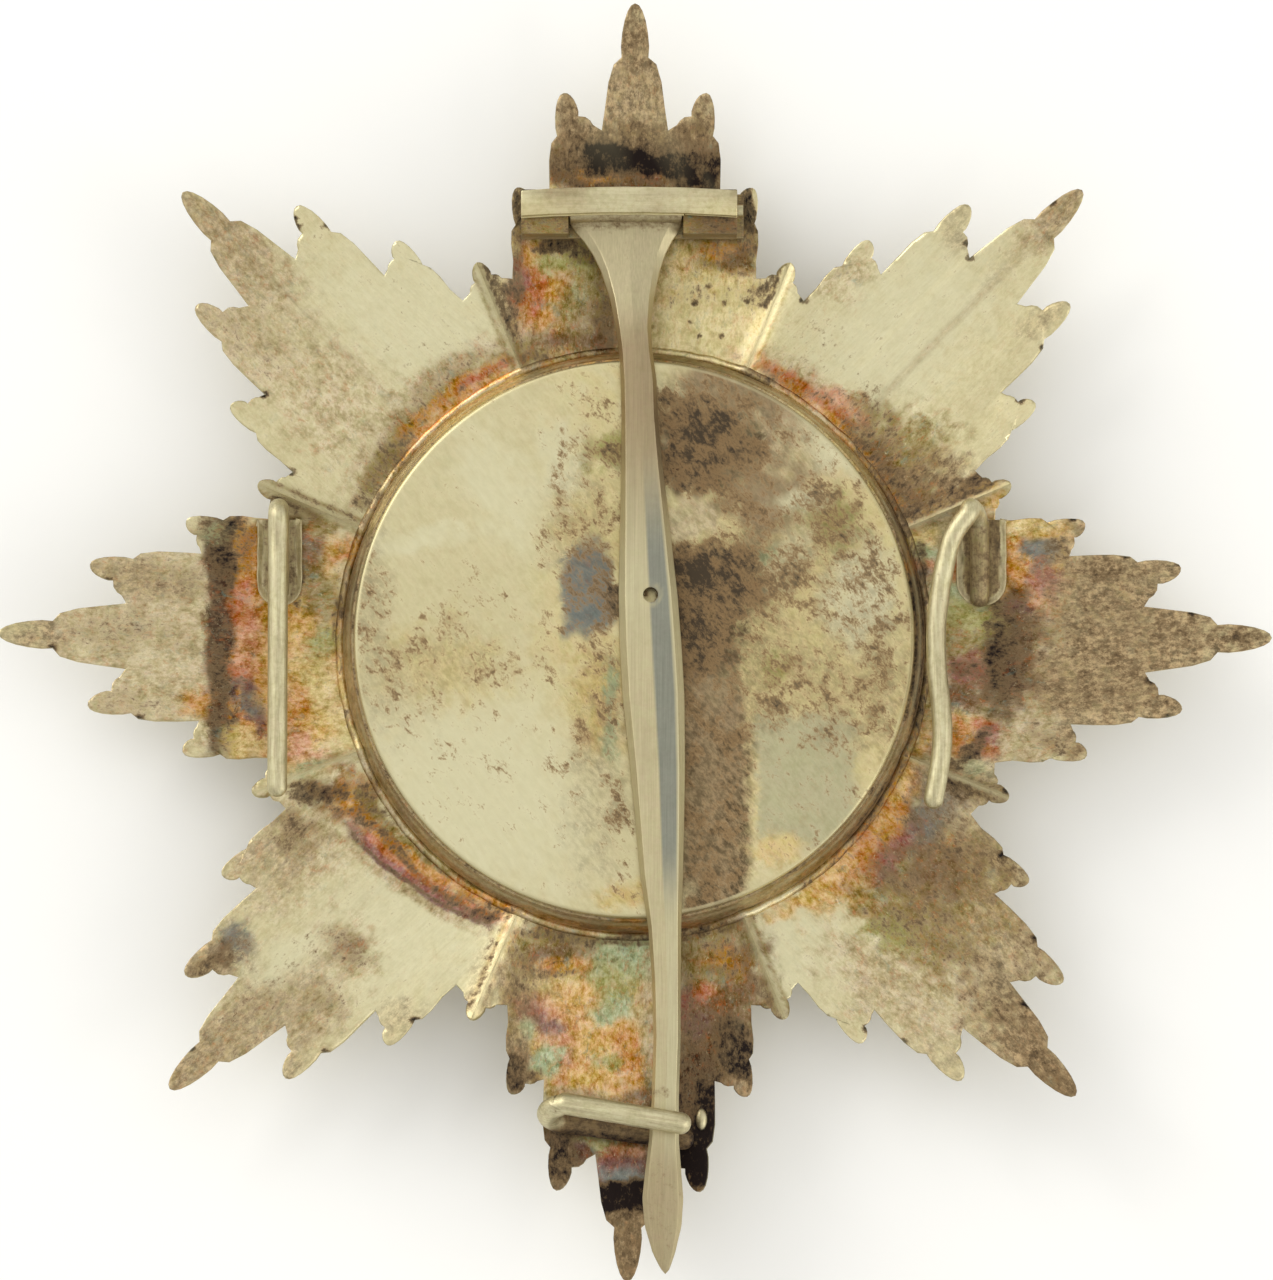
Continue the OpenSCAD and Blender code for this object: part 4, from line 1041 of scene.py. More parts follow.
@dataclass(frozen=True)
class ArmSurface:
    """The form of the arms' backs, as the part has it but without its small flats.

    Heights are above the plane that the star rests on.
    """

    hub_height: float = 4.7
    tip_rise: float = 2.2
    fold_height: float = 1.3
    hub_radius: float = 19.8
    reach: float = 42.6
    rise_power: float = 1.15
    fold_power: float = 1.4
    # Turn of each arm from its even place, anticlockwise from the upper one
    arm_turns: tuple[float, ...] = (-0.1, 0.1, -0.6, -0.8, -0.6, -1.05, 0.2, 0.25)
    rays_per_arm: int = 6
    # The sharp crest that stands on each fold, as a share of its height, and its width
    crest_share: float = 0.30
    crest_width: float = 0.50
    # The rays of the front show through as faint flutes
    flute: float = 0.022
    # The low rib along each slanting arm: its height, how strong it is on each arm, and
    # where it rises and falls, aside of the arm's middle
    rib_height: float = 0.13
    rib_strengths: tuple[float, ...] = (0, 0.55, 0, 0.3, 0, 0.3, 0, 1.0)
    rib_rise: Pair = (-0.35, 0.10)
    rib_fall: Pair = (1.9, 3.0)

    def angles(self) -> tuple[np.ndarray, np.ndarray]:
        """Directions of the arms' middles, and of the folds before them, in degrees."""
        turns = np.array(self.arm_turns)
        count = len(turns)
        step = 360 / count
        middles = 90 + step * np.arange(count) + turns
        folds = 90 + step * (np.arange(count) - 0.5) + (turns + np.roll(turns, 1)) / 2
        return middles, folds

    def parts(self, x: np.ndarray, y: np.ndarray) -> tuple[np.ndarray, ...]:
        """Where places lie on the arms.

        Args:
            x: Millimetres to the right of the axis.
            y: Millimetres above it.

        Returns:
            The radius, the part of the way from the middle of the arm to its fold, the
            signed distance from the middle line, the distance from the nearest fold,
            and the number of the arm.
        """
        middles, folds = self.angles()
        radius = np.hypot(x, y)
        angle = np.degrees(np.arctan2(y, x))
        gaps = (angle[:, None] - middles[None, :] + 180) % 360 - 180
        arm = np.argmin(np.abs(gaps), axis=1)
        fold_gaps = (angle[:, None] - folds[None, :] + 180) % 360 - 180
        nearest = np.argmin(np.abs(fold_gaps), axis=1)
        fold_gap = np.abs(fold_gaps[np.arange(len(x)), nearest])
        gap = gaps[np.arange(len(x)), arm]
        part = np.abs(gap) / (np.abs(gap) + fold_gap)
        return (
            radius, part, radius * np.sin(np.radians(gap)), radius * np.sin(np.radians(fold_gap)), arm,
        )

    def height(self, x: np.ndarray, y: np.ndarray) -> np.ndarray:
        """Height of the arms' backs at places given in millimetres."""
        radius, part, aside, to_fold, arm = self.parts(x, y)
        out = np.clip((radius - self.hub_radius) / (self.reach - self.hub_radius), 0, None)
        crest = np.exp(-to_fold / self.crest_width)
        fold = (1 - self.crest_share) * part**self.fold_power + self.crest_share * crest
        slanting = arm % 2 == 1
        flutes = np.cos(2 * math.pi * part * self.rays_per_arm / 2)
        strength = np.where(slanting, 1.0, 0.45) * smooth_step(0.05, 0.5, out)
        rib = smooth_step(*self.rib_rise, aside) * fall(*self.rib_fall, aside)
        rib = rib * np.array(self.rib_strengths)[arm]
        rib = rib * smooth_step(0.02, 0.25, out) * fall(0.75, 0.95, out)
        return (
            self.hub_height
            + self.tip_rise * out**self.rise_power
            + self.fold_height * fold
            + self.flute * flutes * strength
            + self.rib_height * rib
        )


class Side(IntEnum):
    """Which way a face of the star looks, kept as its material's number."""

    BACK = 0
    EDGE = 1
    FRONT = 2


@dataclass
class StarSheet:
    """The eight arms: cast rays whose backs are smooth, folded and toned."""

    surface: ArmSurface
    # Rounding of the edges: how far each ring stands in, and how far it drops
    rings: Pairs = ((0.08, 0.15), (0.09, 0.04))
    # How far the front's rim stands back, outside a radius that clears the front's ring
    front_drop: float = 0.07
    front_clear: float = 21.0
    # Edges shorter than this, which rounding leaves in tight corners, are closed up
    least_edge: float = 0.005
    # Longest edge of the back's faces, and near the folds
    back_edge: float = 0.36
    fold_edge: float = 0.18
    fold_band: float = 1.1
    drum_edge: float = 0.22
    drum_band: float = 23.0
    dent_sizes: Pairs = ((7.0, 0.05), (2.2, 0.012))
    # A notch's soot: half width and half height in pixels, and how much; then a pit's
    notch_soot: Triple = (4.6, 3.8, 1.3)
    pit_soot: float = 0.95

    def build(self, node: Object) -> Object:
        """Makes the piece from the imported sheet.

        Args:
            node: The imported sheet.

        Returns:
            The finished piece.
        """
        bm = merged_copy(node)
        self._sort_faces(bm)
        drop = bm.verts.layers.float.new(Field.RIM.value)
        self._round_edges(bm, drop)
        refine(bm, self._longest, lambda f: f.material_index == Side.BACK)
        self._form_back(bm, drop)
        self._shade(bm)
        piece = finished(bm, "star_arms", [ARMS_SILVER, ARMS_SILVER, FRONT_SILVER])
        self._tone(piece.data)
        return piece

    def _sort_faces(self, bm: BMesh) -> None:
        """Gives each face the number of the side that it looks to."""
        for face in bm.faces:
            up = face.normal.z
            side = Side.BACK if up > 0.3 else Side.FRONT if up < -0.3 else Side.EDGE
            face.material_index = side

    def _round_edges(self, bm: BMesh, drop: bmesh.types.BMLayerItem) -> None:
        """Rounds the outline with rings of faces that fall away to it."""
        back = [f for f in bm.faces if f.material_index == Side.BACK]
        outline = unique(
            v
            for e in bm.edges
            if {f.material_index for f in e.link_faces} == {Side.BACK, Side.EDGE}
            for v in e.verts
        )
        levels = [outline]
        for inward, _ in self.rings:
            held = {v: v.co.copy() for v in levels[-1]}
            made = bmesh.ops.inset_region(bm, faces=back, thickness=inward * MM, use_even_offset=True)
            for face in made["faces"]:
                face.material_index = Side.BACK
            for vert, where in held.items():
                vert.co = where
            levels.append(self._border(back))
            self._hold_in(levels[-2], levels[-1], 1.8 * inward * MM)
        for verts, (_, down) in zip(levels, self.rings):
            for vert in verts:
                vert[drop] = down
        for face in bm.faces:
            if face.material_index == Side.FRONT:
                for vert in face.verts:
                    if any(f.material_index == Side.EDGE for f in vert.link_faces):
                        vert.tag = True
        for vert in bm.verts:
            if vert.tag and math.hypot(vert.co.x, vert.co.y) > self.front_clear * MM:
                vert.co.z += self.front_drop * MM
        bmesh.ops.dissolve_degenerate(bm, dist=self.least_edge * MM, edges=bm.edges[:])
        bmesh.ops.triangulate(bm, faces=[f for f in bm.faces if len(f.verts) > 3])

    @staticmethod
    def _hold_in(outer: list[Vert], inner: list[Vert], reach: float) -> None:
        """Keeps an inner ring near the ring outside it and its faces untangled."""
        outside = set(outer)
        for vert in inner:
            near = [o for e in vert.link_edges for o in e.verts if o in outside]
            if not near:
                continue
            anchor = min(near, key=lambda o: (o.co - vert.co).length)
            step = vert.co - anchor.co
            if step.length > reach:
                vert.co = anchor.co + step * (reach / step.length)
            for _ in range(4):
                faces = [f for f in vert.link_faces if f.material_index == Side.BACK]
                for face in faces:
                    face.normal_update()
                if all(f.normal.z > 0.2 for f in faces):
                    break
                vert.co = anchor.co.lerp(vert.co, 0.4)

    @staticmethod
    def _border(faces: list[Face]) -> list[Vert]:
        """The vertices on the border of a region of faces."""
        inside = set(faces)
        return unique(
            v
            for f in faces
            for e in f.edges
            if any(g not in inside for g in e.link_faces)
            for v in e.verts
        )

    def _longest(self, middles: np.ndarray) -> np.ndarray:
        """Longest edge at places of the back, all in millimetres."""
        radius, _, aside, to_fold, arm = self.surface.parts(middles[:, 0], middles[:, 1])
        limits = np.where(radius < self.drum_band, self.drum_edge, self.back_edge)
        ribbed = np.array(self.surface.rib_strengths)[arm] > 0.4
        for low, high in (self.surface.rib_rise, self.surface.rib_fall):
            ribbed_here = ribbed & (np.abs(aside - (low + high) / 2) < 0.5)
            limits = np.where(ribbed_here, self.fold_edge, limits)
        return np.where(to_fold < self.fold_band, self.fold_edge, limits)

    def _form_back(self, bm: BMesh, drop: bmesh.types.BMLayerItem) -> None:
        """Sets the height of the back from the arms' form, the dents and the rounding."""
        verts = unique(v for f in bm.faces if f.material_index == Side.BACK for v in f.verts)
        points = np.array([v.co for v in verts])
        height = self.surface.height(points[:, 0] / MM, points[:, 1] / MM)
        for size, depth in self.dent_sizes:
            height = height + depth * turbulence(points, size, size)[:, 2]
        for vert, z in zip(verts, height):
            vert.co.z = (z - vert[drop]) * MM

    def _shade(self, bm: BMesh) -> None:
        """Shades the sheet smooth, but for the crests and the facets of the front."""
        bm.normal_update()
        smooth_faces(bm, 180)
        for edge in bm.edges:
            sides = {f.material_index for f in edge.link_faces}
            if sides == {Side.FRONT}:
                edge.smooth = edge.calc_face_angle() < math.radians(14)
            elif sides == {Side.FRONT, Side.EDGE}:
                edge.smooth = False
        points = np.array([v.co for v in bm.verts]) / MM
        to_fold = self.surface.parts(points[:, 0], points[:, 1])[3]
        bm.verts.index_update()
        for edge in bm.edges:
            on_crest = all(to_fold[v.index] < 0.03 for v in edge.verts)
            if on_crest and all(f.material_index == Side.BACK for f in edge.link_faces):
                edge.smooth = False

    def _tone(self, mesh: Mesh) -> None:
        """Paints the fields of the arms, with painted shade and highlights along the folds and ribs."""
        points = points_of(mesh)
        normals = np.zeros(len(points) * 3)
        mesh.vertices.foreach_get("normal", normals)
        looks_up = smooth_step(-0.6, -0.2, normals.reshape(-1, 3)[:, 2])
        rim = np.zeros(len(points))
        mesh.attributes[Field.RIM.value].data.foreach_get("value", rim)
        x, y = points[:, 0] / MM, points[:, 1] / MM
        radius, _, aside, to_fold, arm = self.surface.parts(x, y)
        rib = np.array(self.surface.rib_strengths)[arm] * smooth_step(21, 25, radius)
        rib = rib * fall(34, 40, radius)
        # The rib's steep foot gets painted shade, and its gentle shoulder a painted highlight
        foot, rib_highlight = (
            rib * hill(sum(side) / 2, 0.26, aside)
            for side in (self.surface.rib_rise, self.surface.rib_fall)
        )
        # A painted highlight along each fold's crest, where the film is also cleared
        crest = hill(0, 0.20, to_fold)
        keep = 1 - 0.85 * crest
        slanting = arm % 2 == 1
        # Painted shade beside each fold: narrow on the slanting arms, broader on the upright arms
        fold_shade = hill(0.46, 0.17, to_fold) * slanting
        fold_shade += 0.7 * hill(0.40, 0.22, to_fold) * ~slanting
        keep = (keep * looks_up)[:, None]
        # Painted shade laid as tones: mauve at the rib's foot, olive beside the folds
        lines = ((MAUVE, 0.42 * foot), (OLIVE, 0.60 * fold_shade))
        spread_film(mesh, PALE, STAR_FILM_AND_SHADE, STAR_HALO, keep, lines)
        where = NEAR.carry(points)
        grime = Stains(-0.10, STAR_GRIME_AND_SHADE).paint(where)
        round_drum = HALO_NEAR.carry(points)
        grime = Stains(0.0, STAR_HALO_GRIME, around=True).paint(round_drum, grime) * keep
        places = VIEW.to_px(points)
        outline = places[(rim > 0.9 * self.rings[0][1]) & (looks_up > 0.5)]
        dots = []
        for notch in STAR_NOTCHES:
            u, v = outline[np.argmin(np.hypot(*(outline - np.array(notch)).T))]
            dots.append((u, v, *self.notch_soot))
        dots += [(u, v, size, size, self.pit_soot) for u, v, size in STAR_PITS]
        grime = Stains(0.0, dots, fray=0.3).paint(Spread(()).carry(points), grime)
        matte = Stains(0.04, STAR_MATTE).paint(where) * keep
        # The painted shade beside the folds also darkens the grime
        grime = grime + 0.10 * matte + 0.14 * fold_shade[:, None]
        # Bright edges: wear, with painted highlights on the rounded outline, the crests and the rib's
        # shoulder
        bright = 0.8 * np.clip(rim / self.rings[0][1], 0, 1) + 0.35 * crest + 0.22 * rib_highlight
        turns = np.radians(self.surface.angles()[0][arm])
        along = x * np.cos(turns) + y * np.sin(turns)
        across = y * np.cos(turns) - x * np.sin(turns)
        lay = np.stack([across, along, points[:, 2] / MM], axis=1)
        store(mesh, grime=grime, matte=matte, rim=bright, lay=lay)


def spin(profile: list[Pair], closed: bool = False) -> BMesh:
    """Turns a profile about the star's axis into a skin.

    Args:
        profile: Radii and heights in millimetres.
        closed: Whether its last point is joined to its first.

    Returns:
        The mesh, in metres.
    """
    bm = bmesh.new()
    verts = [bm.verts.new((r * MM, 0, z * MM)) for r, z in profile]
    edges = [bm.edges.new(pair) for pair in zip(verts, verts[1:])]
    if closed:
        edges.append(bm.edges.new((verts[-1], verts[0])))
    bmesh.ops.spin(
        bm, geom=verts + edges, cent=(0, 0, 0), axis=(0, 0, 1), angle=2 * math.pi, steps=SPIN_STEPS,
        use_merge=True,
    )
    bmesh.ops.remove_doubles(bm, verts=bm.verts, dist=WELD)
    bmesh.ops.recalc_face_normals(bm, faces=bm.faces)
    return bm


def arc(centre: Pair, radius: float, start: float, end: float, steps: int) -> list[Pair]:
    """Points of an arc in the plane of a profile, from one angle in degrees to another."""
    turns = [math.radians(start + (end - start) * k / steps) for k in range(steps + 1)]
    return [(centre[0] + radius * math.cos(a), centre[1] + radius * math.sin(a)) for a in turns]


@dataclass
class Drum:
    """The drum in the middle of the star: its lid, its wall and the solder seam round it."""

    surface: ArmSurface
    lid_radius: float = 18.7
    lid_top: float = 8.0
    lid_thickness: float = 0.65
    lid_bevel: float = 0.26
    lid_flat_rings: int = 62
    wall_thickness: float = 1.1
    wall_foot: float = 1.2
    # The outside of the wall: radius and height
    wall: Pairs = (
        (19.50, 1.2), (19.50, 4.2), (19.50, 5.5), (19.42, 6.1), (19.24, 6.6), (19.02, 7.0),
        (18.86, 7.31),
    )
    wall_matte: float = 0.26
    # Dark lines round the wall: height, spread and how much grime
    wall_lines: Triples = ((7.3, 0.12, 0.4), (6.2, 0.3, 0.18))
    bright_line: float = 6.85
    seam_radius: float = 0.34

    def build_lid(self) -> Object:
        """Makes the lid, a little buckled, with a worn bevel."""
        bottom = self.lid_top - self.lid_thickness
        flat = self.lid_radius - self.lid_bevel
        rings = self.lid_flat_rings
        profile = [(flat * k / rings, self.lid_top) for k in range(rings)]
        bevel_centre = (flat - 0.06, self.lid_top - self.lid_bevel - 0.06)
        profile += arc(bevel_centre, self.lid_bevel + 0.06, 90, 0, 5)
        profile += [(self.lid_radius, bottom + 0.05), (self.lid_radius - 0.05, bottom)]
        profile += [(self.lid_radius * 0.5, bottom), (0, bottom)]
        bm = spin(profile)
        points = np.array([v.co for v in bm.verts])
        buckle = 0.035 * turbulence(points, 7.0, 3.0)[:, 2]
        buckle += 0.008 * turbulence(points, 1.8, 5.0)[:, 2]
        for vert, push in zip(bm.verts, buckle):
            if vert.co.z > (self.lid_top - 0.02) * MM:
                vert.co.z += (push - 0.02) * MM
        smooth_faces(bm, 32)
        piece = finished(bm, "drum_lid", [LID_SILVER])
        mesh = piece.data
        points = points_of(mesh)
        radius = np.hypot(points[:, 0], points[:, 1]) / MM
        sloped = smooth_step(flat - 0.05, flat + 0.06, radius)
        spread_film(mesh, PALE, LID_FILM_SHADE_AND_SHEEN)
        where = NEAR.carry(points)
        kept = 0.92 - 0.6 * sloped[:, None]
        grime = Stains(-0.12, LID_GRIME_AND_SHADOW).paint(where) * kept
        matte = Stains(0.03, LID_MATTE_AND_SHADOW).paint(where) * kept
        store(mesh, grime=grime, matte=matte, rim=0.75 * sloped)
        return piece

    def build_wall(self) -> Object:
        """Makes the drum's wall, uneven from the hammer."""
        inner = self.wall[0][0] - self.wall_thickness + 0.3
        outside = []
        for (r0, z0), (r1, z1) in zip(self.wall, self.wall[1:]):
            outside += [(r0 + (r1 - r0) * k / 4, z0 + (z1 - z0) * k / 4) for k in range(4)]
        outside.append(self.wall[-1])
        top = self.wall[-1][1]
        profile = [(inner, top), (inner, self.wall_foot), *outside]
        bm = spin(profile, closed=True)
        points = np.array([v.co for v in bm.verts])
        push = 0.035 * turbulence(points, 3.0, 7.0)[:, 0]
        push += 0.010 * turbulence(points, 0.9, 9.0)[:, 0]
        for vert, amount in zip(bm.verts, push):
            out = Vector((vert.co.x, vert.co.y, 0))
            if out.length > (inner + 0.3) * MM:
                vert.co += out.normalized() * (amount - 0.03) * MM
        smooth_faces(bm, 40)
        piece = finished(bm, "drum_wall", [WALL_SILVER])
        points = points_of(piece.data)
        spread_film(piece.data, TAN, WALL_FILM)
        height = points[:, 2] / MM
        round_about = points * np.array([0.35, 0.35, 3.0])
        streaks = turbulence(round_about, 0.7, 3.0)[:, 0]
        lines = sum(a * hill(z, s, height) for z, s, a in self.wall_lines)
        grime = Stains(-0.05, WALL_GRIME).paint(NEAR.carry(points))[:, 0]
        grime = grime + lines + 0.35 * streaks
        matte = np.full(len(points), self.wall_matte)
        rim = 0.8 * hill(self.bright_line, 0.24, height) * (0.8 + streaks)
        store(piece.data, grime=grime, matte=matte, rim=rim)
        return piece

    def build_seam(self) -> Object:
        """Makes the solder seam, which follows the folds of the arms round the drum."""
        profile = arc((self.wall[0][0] + 0.18, 0), self.seam_radius, 0, 345, 11)
        bm = spin(profile, closed=True)
        points = np.array([v.co for v in bm.verts])
        ground = self.surface.height(points[:, 0] / MM, points[:, 1] / MM)
        uneven = turbulence(points, 1.1, 4.0)
        for vert, low, stir in zip(bm.verts, ground, uneven):
            out = Vector((vert.co.x, vert.co.y, 0)).normalized()
            vert.co.z += (low - 0.10 + 0.05 * stir[2]) * MM
            vert.co += out * (0.07 * stir[0]) * MM
        smooth_faces(bm, 60)
        piece = finished(bm, "drum_seam", [ARMS_SILVER])
        points = points_of(piece.data)
        spread_film(piece.data, TAN, STAR_FILM_AND_SHADE, STAR_HALO)
        where = NEAR.carry(points)
        grime = [Stains(0.02, rows).paint(where) for rows in (STAR_GRIME_AND_SHADE, WALL_GRIME)]
        store(piece.data, grime=np.maximum(*grime), lay=points / MM)
        return piece


@dataclass(frozen=True)
class Station:
    """One place along a bar: its middle, its two half axes and the way it runs."""

    middle: Vector
    across: Vector
    over: Vector

    def matrix(self) -> Matrix:
        """Takes a section drawn in the plane of X and Y to this place, in metres."""
        along = self.across.cross(self.over).normalized()
        made = (Matrix((self.across, self.over, along)).transposed() * MM).to_4x4()
        made.translation = self.middle * MM
        return made


def sweep(bm: BMesh, section: list[Pair], stations: list[Station]) -> None:
    """Draws a section along stations and closes both ends to a point.

    Args:
        bm: The mesh that gets the bar.
        section: The outline of the bar, across and over, 1 being the half size.
        stations: The places that it runs through.
    """
    first = stations[0].matrix()
    ring = [bm.verts.new(first @ Vector((u, v, 0))) for u, v in section]
    edges = [bm.edges.new((ring[i - 1], ring[i])) for i in range(len(ring))]
    start, previous = list(ring), first
    for station in stations[1:]:
        matrix = station.matrix()
        grown = bmesh.ops.extrude_edge_only(bm, edges=edges)["geom"]
        verts = [g for g in grown if isinstance(g, Vert)]
        edges = [g for g in grown if isinstance(g, Edge) and all(v in set(verts) for v in g.verts)]
        bmesh.ops.transform(bm, matrix=matrix @ previous.inverted(), verts=verts)
        previous, ring = matrix, verts
    for end, place in ((start, stations[0]), (ring, stations[-1])):
        bmesh.ops.pointmerge(bm, verts=end, merge_co=place.middle * MM)
    bmesh.ops.recalc_face_normals(bm, faces=bm.faces)


def round_section(sides: int) -> list[Pair]:
    """A circle of radius 1."""
    turns = [2 * math.pi * k / sides for k in range(sides)]
    return [(math.cos(a), math.sin(a)) for a in turns]


def curve_through(knots: list[Vector], spacing: float) -> list[Vector]:
    """Even steps along a smooth curve through knots.

    Args:
        knots: Places in millimetres.
        spacing: The step along the curve in millimetres.

    Returns:
        The places of the steps, the first and the last knot among them.
    """
    padded = [2 * knots[0] - knots[1], *knots, 2 * knots[-1] - knots[-2]]
    fine: list[Vector] = []
    for a, b, c, d in zip(padded, padded[1:], padded[2:], padded[3:]):
        for k in range(16):
            t = k / 16
            fine.append(
                0.5
                * (
                    2 * b
                    + (c - a) * t
                    + (2 * a - 5 * b + 4 * c - d) * t**2
                    + (3 * b - a - 3 * c + d) * t**3
                )
            )
    fine.append(knots[-1])
    lengths = np.concatenate([[0], np.cumsum([(q - p).length for p, q in zip(fine, fine[1:])])])
    count = max(2, round(lengths[-1] / spacing))
    wanted = np.linspace(0, lengths[-1], count + 1)
    columns = [np.interp(wanted, lengths, [p[axis] for p in fine]) for axis in range(3)]
    return [Vector(p) for p in zip(*columns)]


@dataclass
class Wire:
    """A round wire along a route, with worn round ends and small flats."""

    knots: list[Vector]
    diameter: float
    side: Vector
    blunt: float = 0.5
    sides: int = 24
    spacing: float = 0.22
    uneven: float = 0.02
    # Places where the wire was hammered flatter: part of its length, spread, and amount
    flats: Triples = ()

    def stations(self) -> list[Station]:
        """The places along the wire, its rounded ends included."""
        path = curve_through(self.knots, self.spacing)
        radius = self.diameter / 2
        last = len(path) - 1
        caps = [(0.985, 0.10), (0.93, 0.36), (0.80, 0.60), (0.55, 0.835), (0.28, 0.96)]
        made = []
        for index, place in enumerate(path):
            way = (path[min(index + 1, last)] - path[max(index - 1, 0)]).normalized()
            across = way.cross(self.side).normalized()
            over = across.cross(way)
            part = index / last
            squash = sum(a * math.exp(-(((part - p) / s) ** 2)) for p, s, a in self.flats)
            stir = self.uneven * noise.noise(place * 0.9)
            wide = radius * (1 - self.uneven + stir) * (1 + 0.10 * squash)
            thin = radius * (1 - self.uneven + stir) * (1 - squash)
            station = Station(place, across * thin, over * wide)
            if index == 0:
                made += [self._cap(station, -way, deep, size) for deep, size in caps]
            made.append(station)
            if index == last:
                made += [self._cap(station, way, deep, size) for deep, size in caps[::-1]]
        return made

    def _cap(self, end: Station, way: Vector, deep: float, size: float) -> Station:
        """A smaller section past an end, on its rounding."""
        reach = self.diameter * self.blunt * deep
        return Station(end.middle + way * reach, end.across * size, end.over * size)

    def draw(self, bm: BMesh) -> None:
        """Adds the wire to a mesh."""
        sweep(bm, round_section(self.sides), self.stations())


def half_turn(low: Vector, high: Vector, bulge: Vector, steps: int = 8) -> list[Vector]:
    """Half a turn from one place up to another above it, bulging one way."""
    turns = [math.pi * k / steps for k in range(steps + 1)]
    return [low.lerp(high, (1 - math.cos(a)) / 2) + bulge * math.sin(a) for a in turns]


@dataclass
class Catch:
    """The catch: a wire soldered across the lower arm and bent back over itself."""

    wire: float = 1.5
    foot: Vector = Vector((3.3, -33.35, 7.06))
    bend_low: Vector = Vector((-4.2, -32.3, 7.06))
    bend_high: Vector = Vector((-4.2, -31.25, 10.18))
    end: Vector = Vector((3.1, -32.5, 10.18))
    bulge: Vector = Vector((-1.5, 0, 0))

    def build(self) -> Object:
        """Makes the catch."""
        bm = bmesh.new()
        knots = [self.foot, *half_turn(self.bend_low, self.bend_high, self.bulge), self.end]
        Wire(knots, self.wire, Vector((0, 1, 0)), blunt=0.46).draw(bm)
        smooth_faces(bm, 60)
        piece = finished(bm, "catch_wire", [CATCH_SILVER])
        points = points_of(piece.data)
        # The lower leg, under the upper one, is darker and browner
        low = fall(7.4, 8.4, points[:, 2] / MM)
        store(piece.data, grime=1.15 * low, tone=blend_tones((WIRE, 1 + 0 * low), (BROWN, low)))
        return piece


@dataclass
class HookPlate:
    """The plate that carries a side hook: a strip with turned-up rims and a round end."""

    left: float
    right: float
    top: float = 8.15
    low: float = 6.22
    thickness: float = 0.5
    tilt: float = 7.5
    length: float = 5.8
    rim_width: float = 0.42
    rim_depth: float = 0.16
    edge_bevel: float = 0.09

    def on_rim(self, x: np.ndarray, y: np.ndarray) -> np.ndarray:
        """How much of each place, in millimetres, is on the turned-up rim."""
        radius = (self.right - self.left) / 2
        end = self.top - self.length + radius
        out = np.hypot(x - (self.right + self.left) / 2, np.minimum(0, y - end))
        inner = radius - self.rim_width
        return smooth_step(inner - 0.06, inner + 0.12, out)

    def draw(self, bm: BMesh) -> None:
        """Adds the plate to a mesh, laid on the slope of the arm."""
        radius = (self.right - self.left) / 2
        middle = (self.right + self.left) / 2
        made = bmesh.ops.create_circle(bm, cap_ends=True, segments=40, radius=radius * MM)
        verts = made["verts"]
        for vert in verts:
            if vert.co.y > 0.05 * radius * MM:
                vert.co.y = (self.length - radius) * MM
                if abs(vert.co.x) > 0.5 * radius * MM:
                    vert.co.x = math.copysign(radius * MM, vert.co.x)
        faces = unique(f for v in verts for f in v.link_faces)
        grown = bmesh.ops.extrude_face_region(bm, geom=faces)["geom"]
        upper = [g for g in grown if isinstance(g, Vert)]
        top_faces = [g for g in grown if isinstance(g, Face)]
        bmesh.ops.translate(bm, verts=upper, vec=(0, 0, self.thickness * MM))
        bmesh.ops.inset_region(bm, faces=top_faces, thickness=self.rim_width * MM)
        sunk = unique(v for f in top_faces for v in f.verts)
        bmesh.ops.translate(bm, verts=sunk, vec=(0, 0, -self.rim_depth * MM))
        edges = [e for e in bm.edges if e.calc_face_angle(0) > 0.6]
        bevel(bm, edges, self.edge_bevel, 2)
        lay = (
            Matrix.Translation(Vector((middle, self.top, self.low)) * MM)
            @ Matrix.Rotation(math.radians(self.tilt), 4, "X")
            @ Matrix.Translation(Vector((0, radius - self.length, 0)) * MM)
        )
        bmesh.ops.transform(bm, matrix=lay, verts=bm.verts)
        refine(bm, lambda middles: np.full(len(middles), 0.26))
        points = np.array([v.co for v in bm.verts])
        rim = self.on_rim(points[:, 0] / MM, points[:, 1] / MM)
        for vert, share, push in zip(bm.verts, rim, turbulence(points, 0.9, 3.0)):
            vert.co += Vector((0.05 * push[0], 0.05 * push[1], 0.09 * push[2] - 0.03)) * share * MM


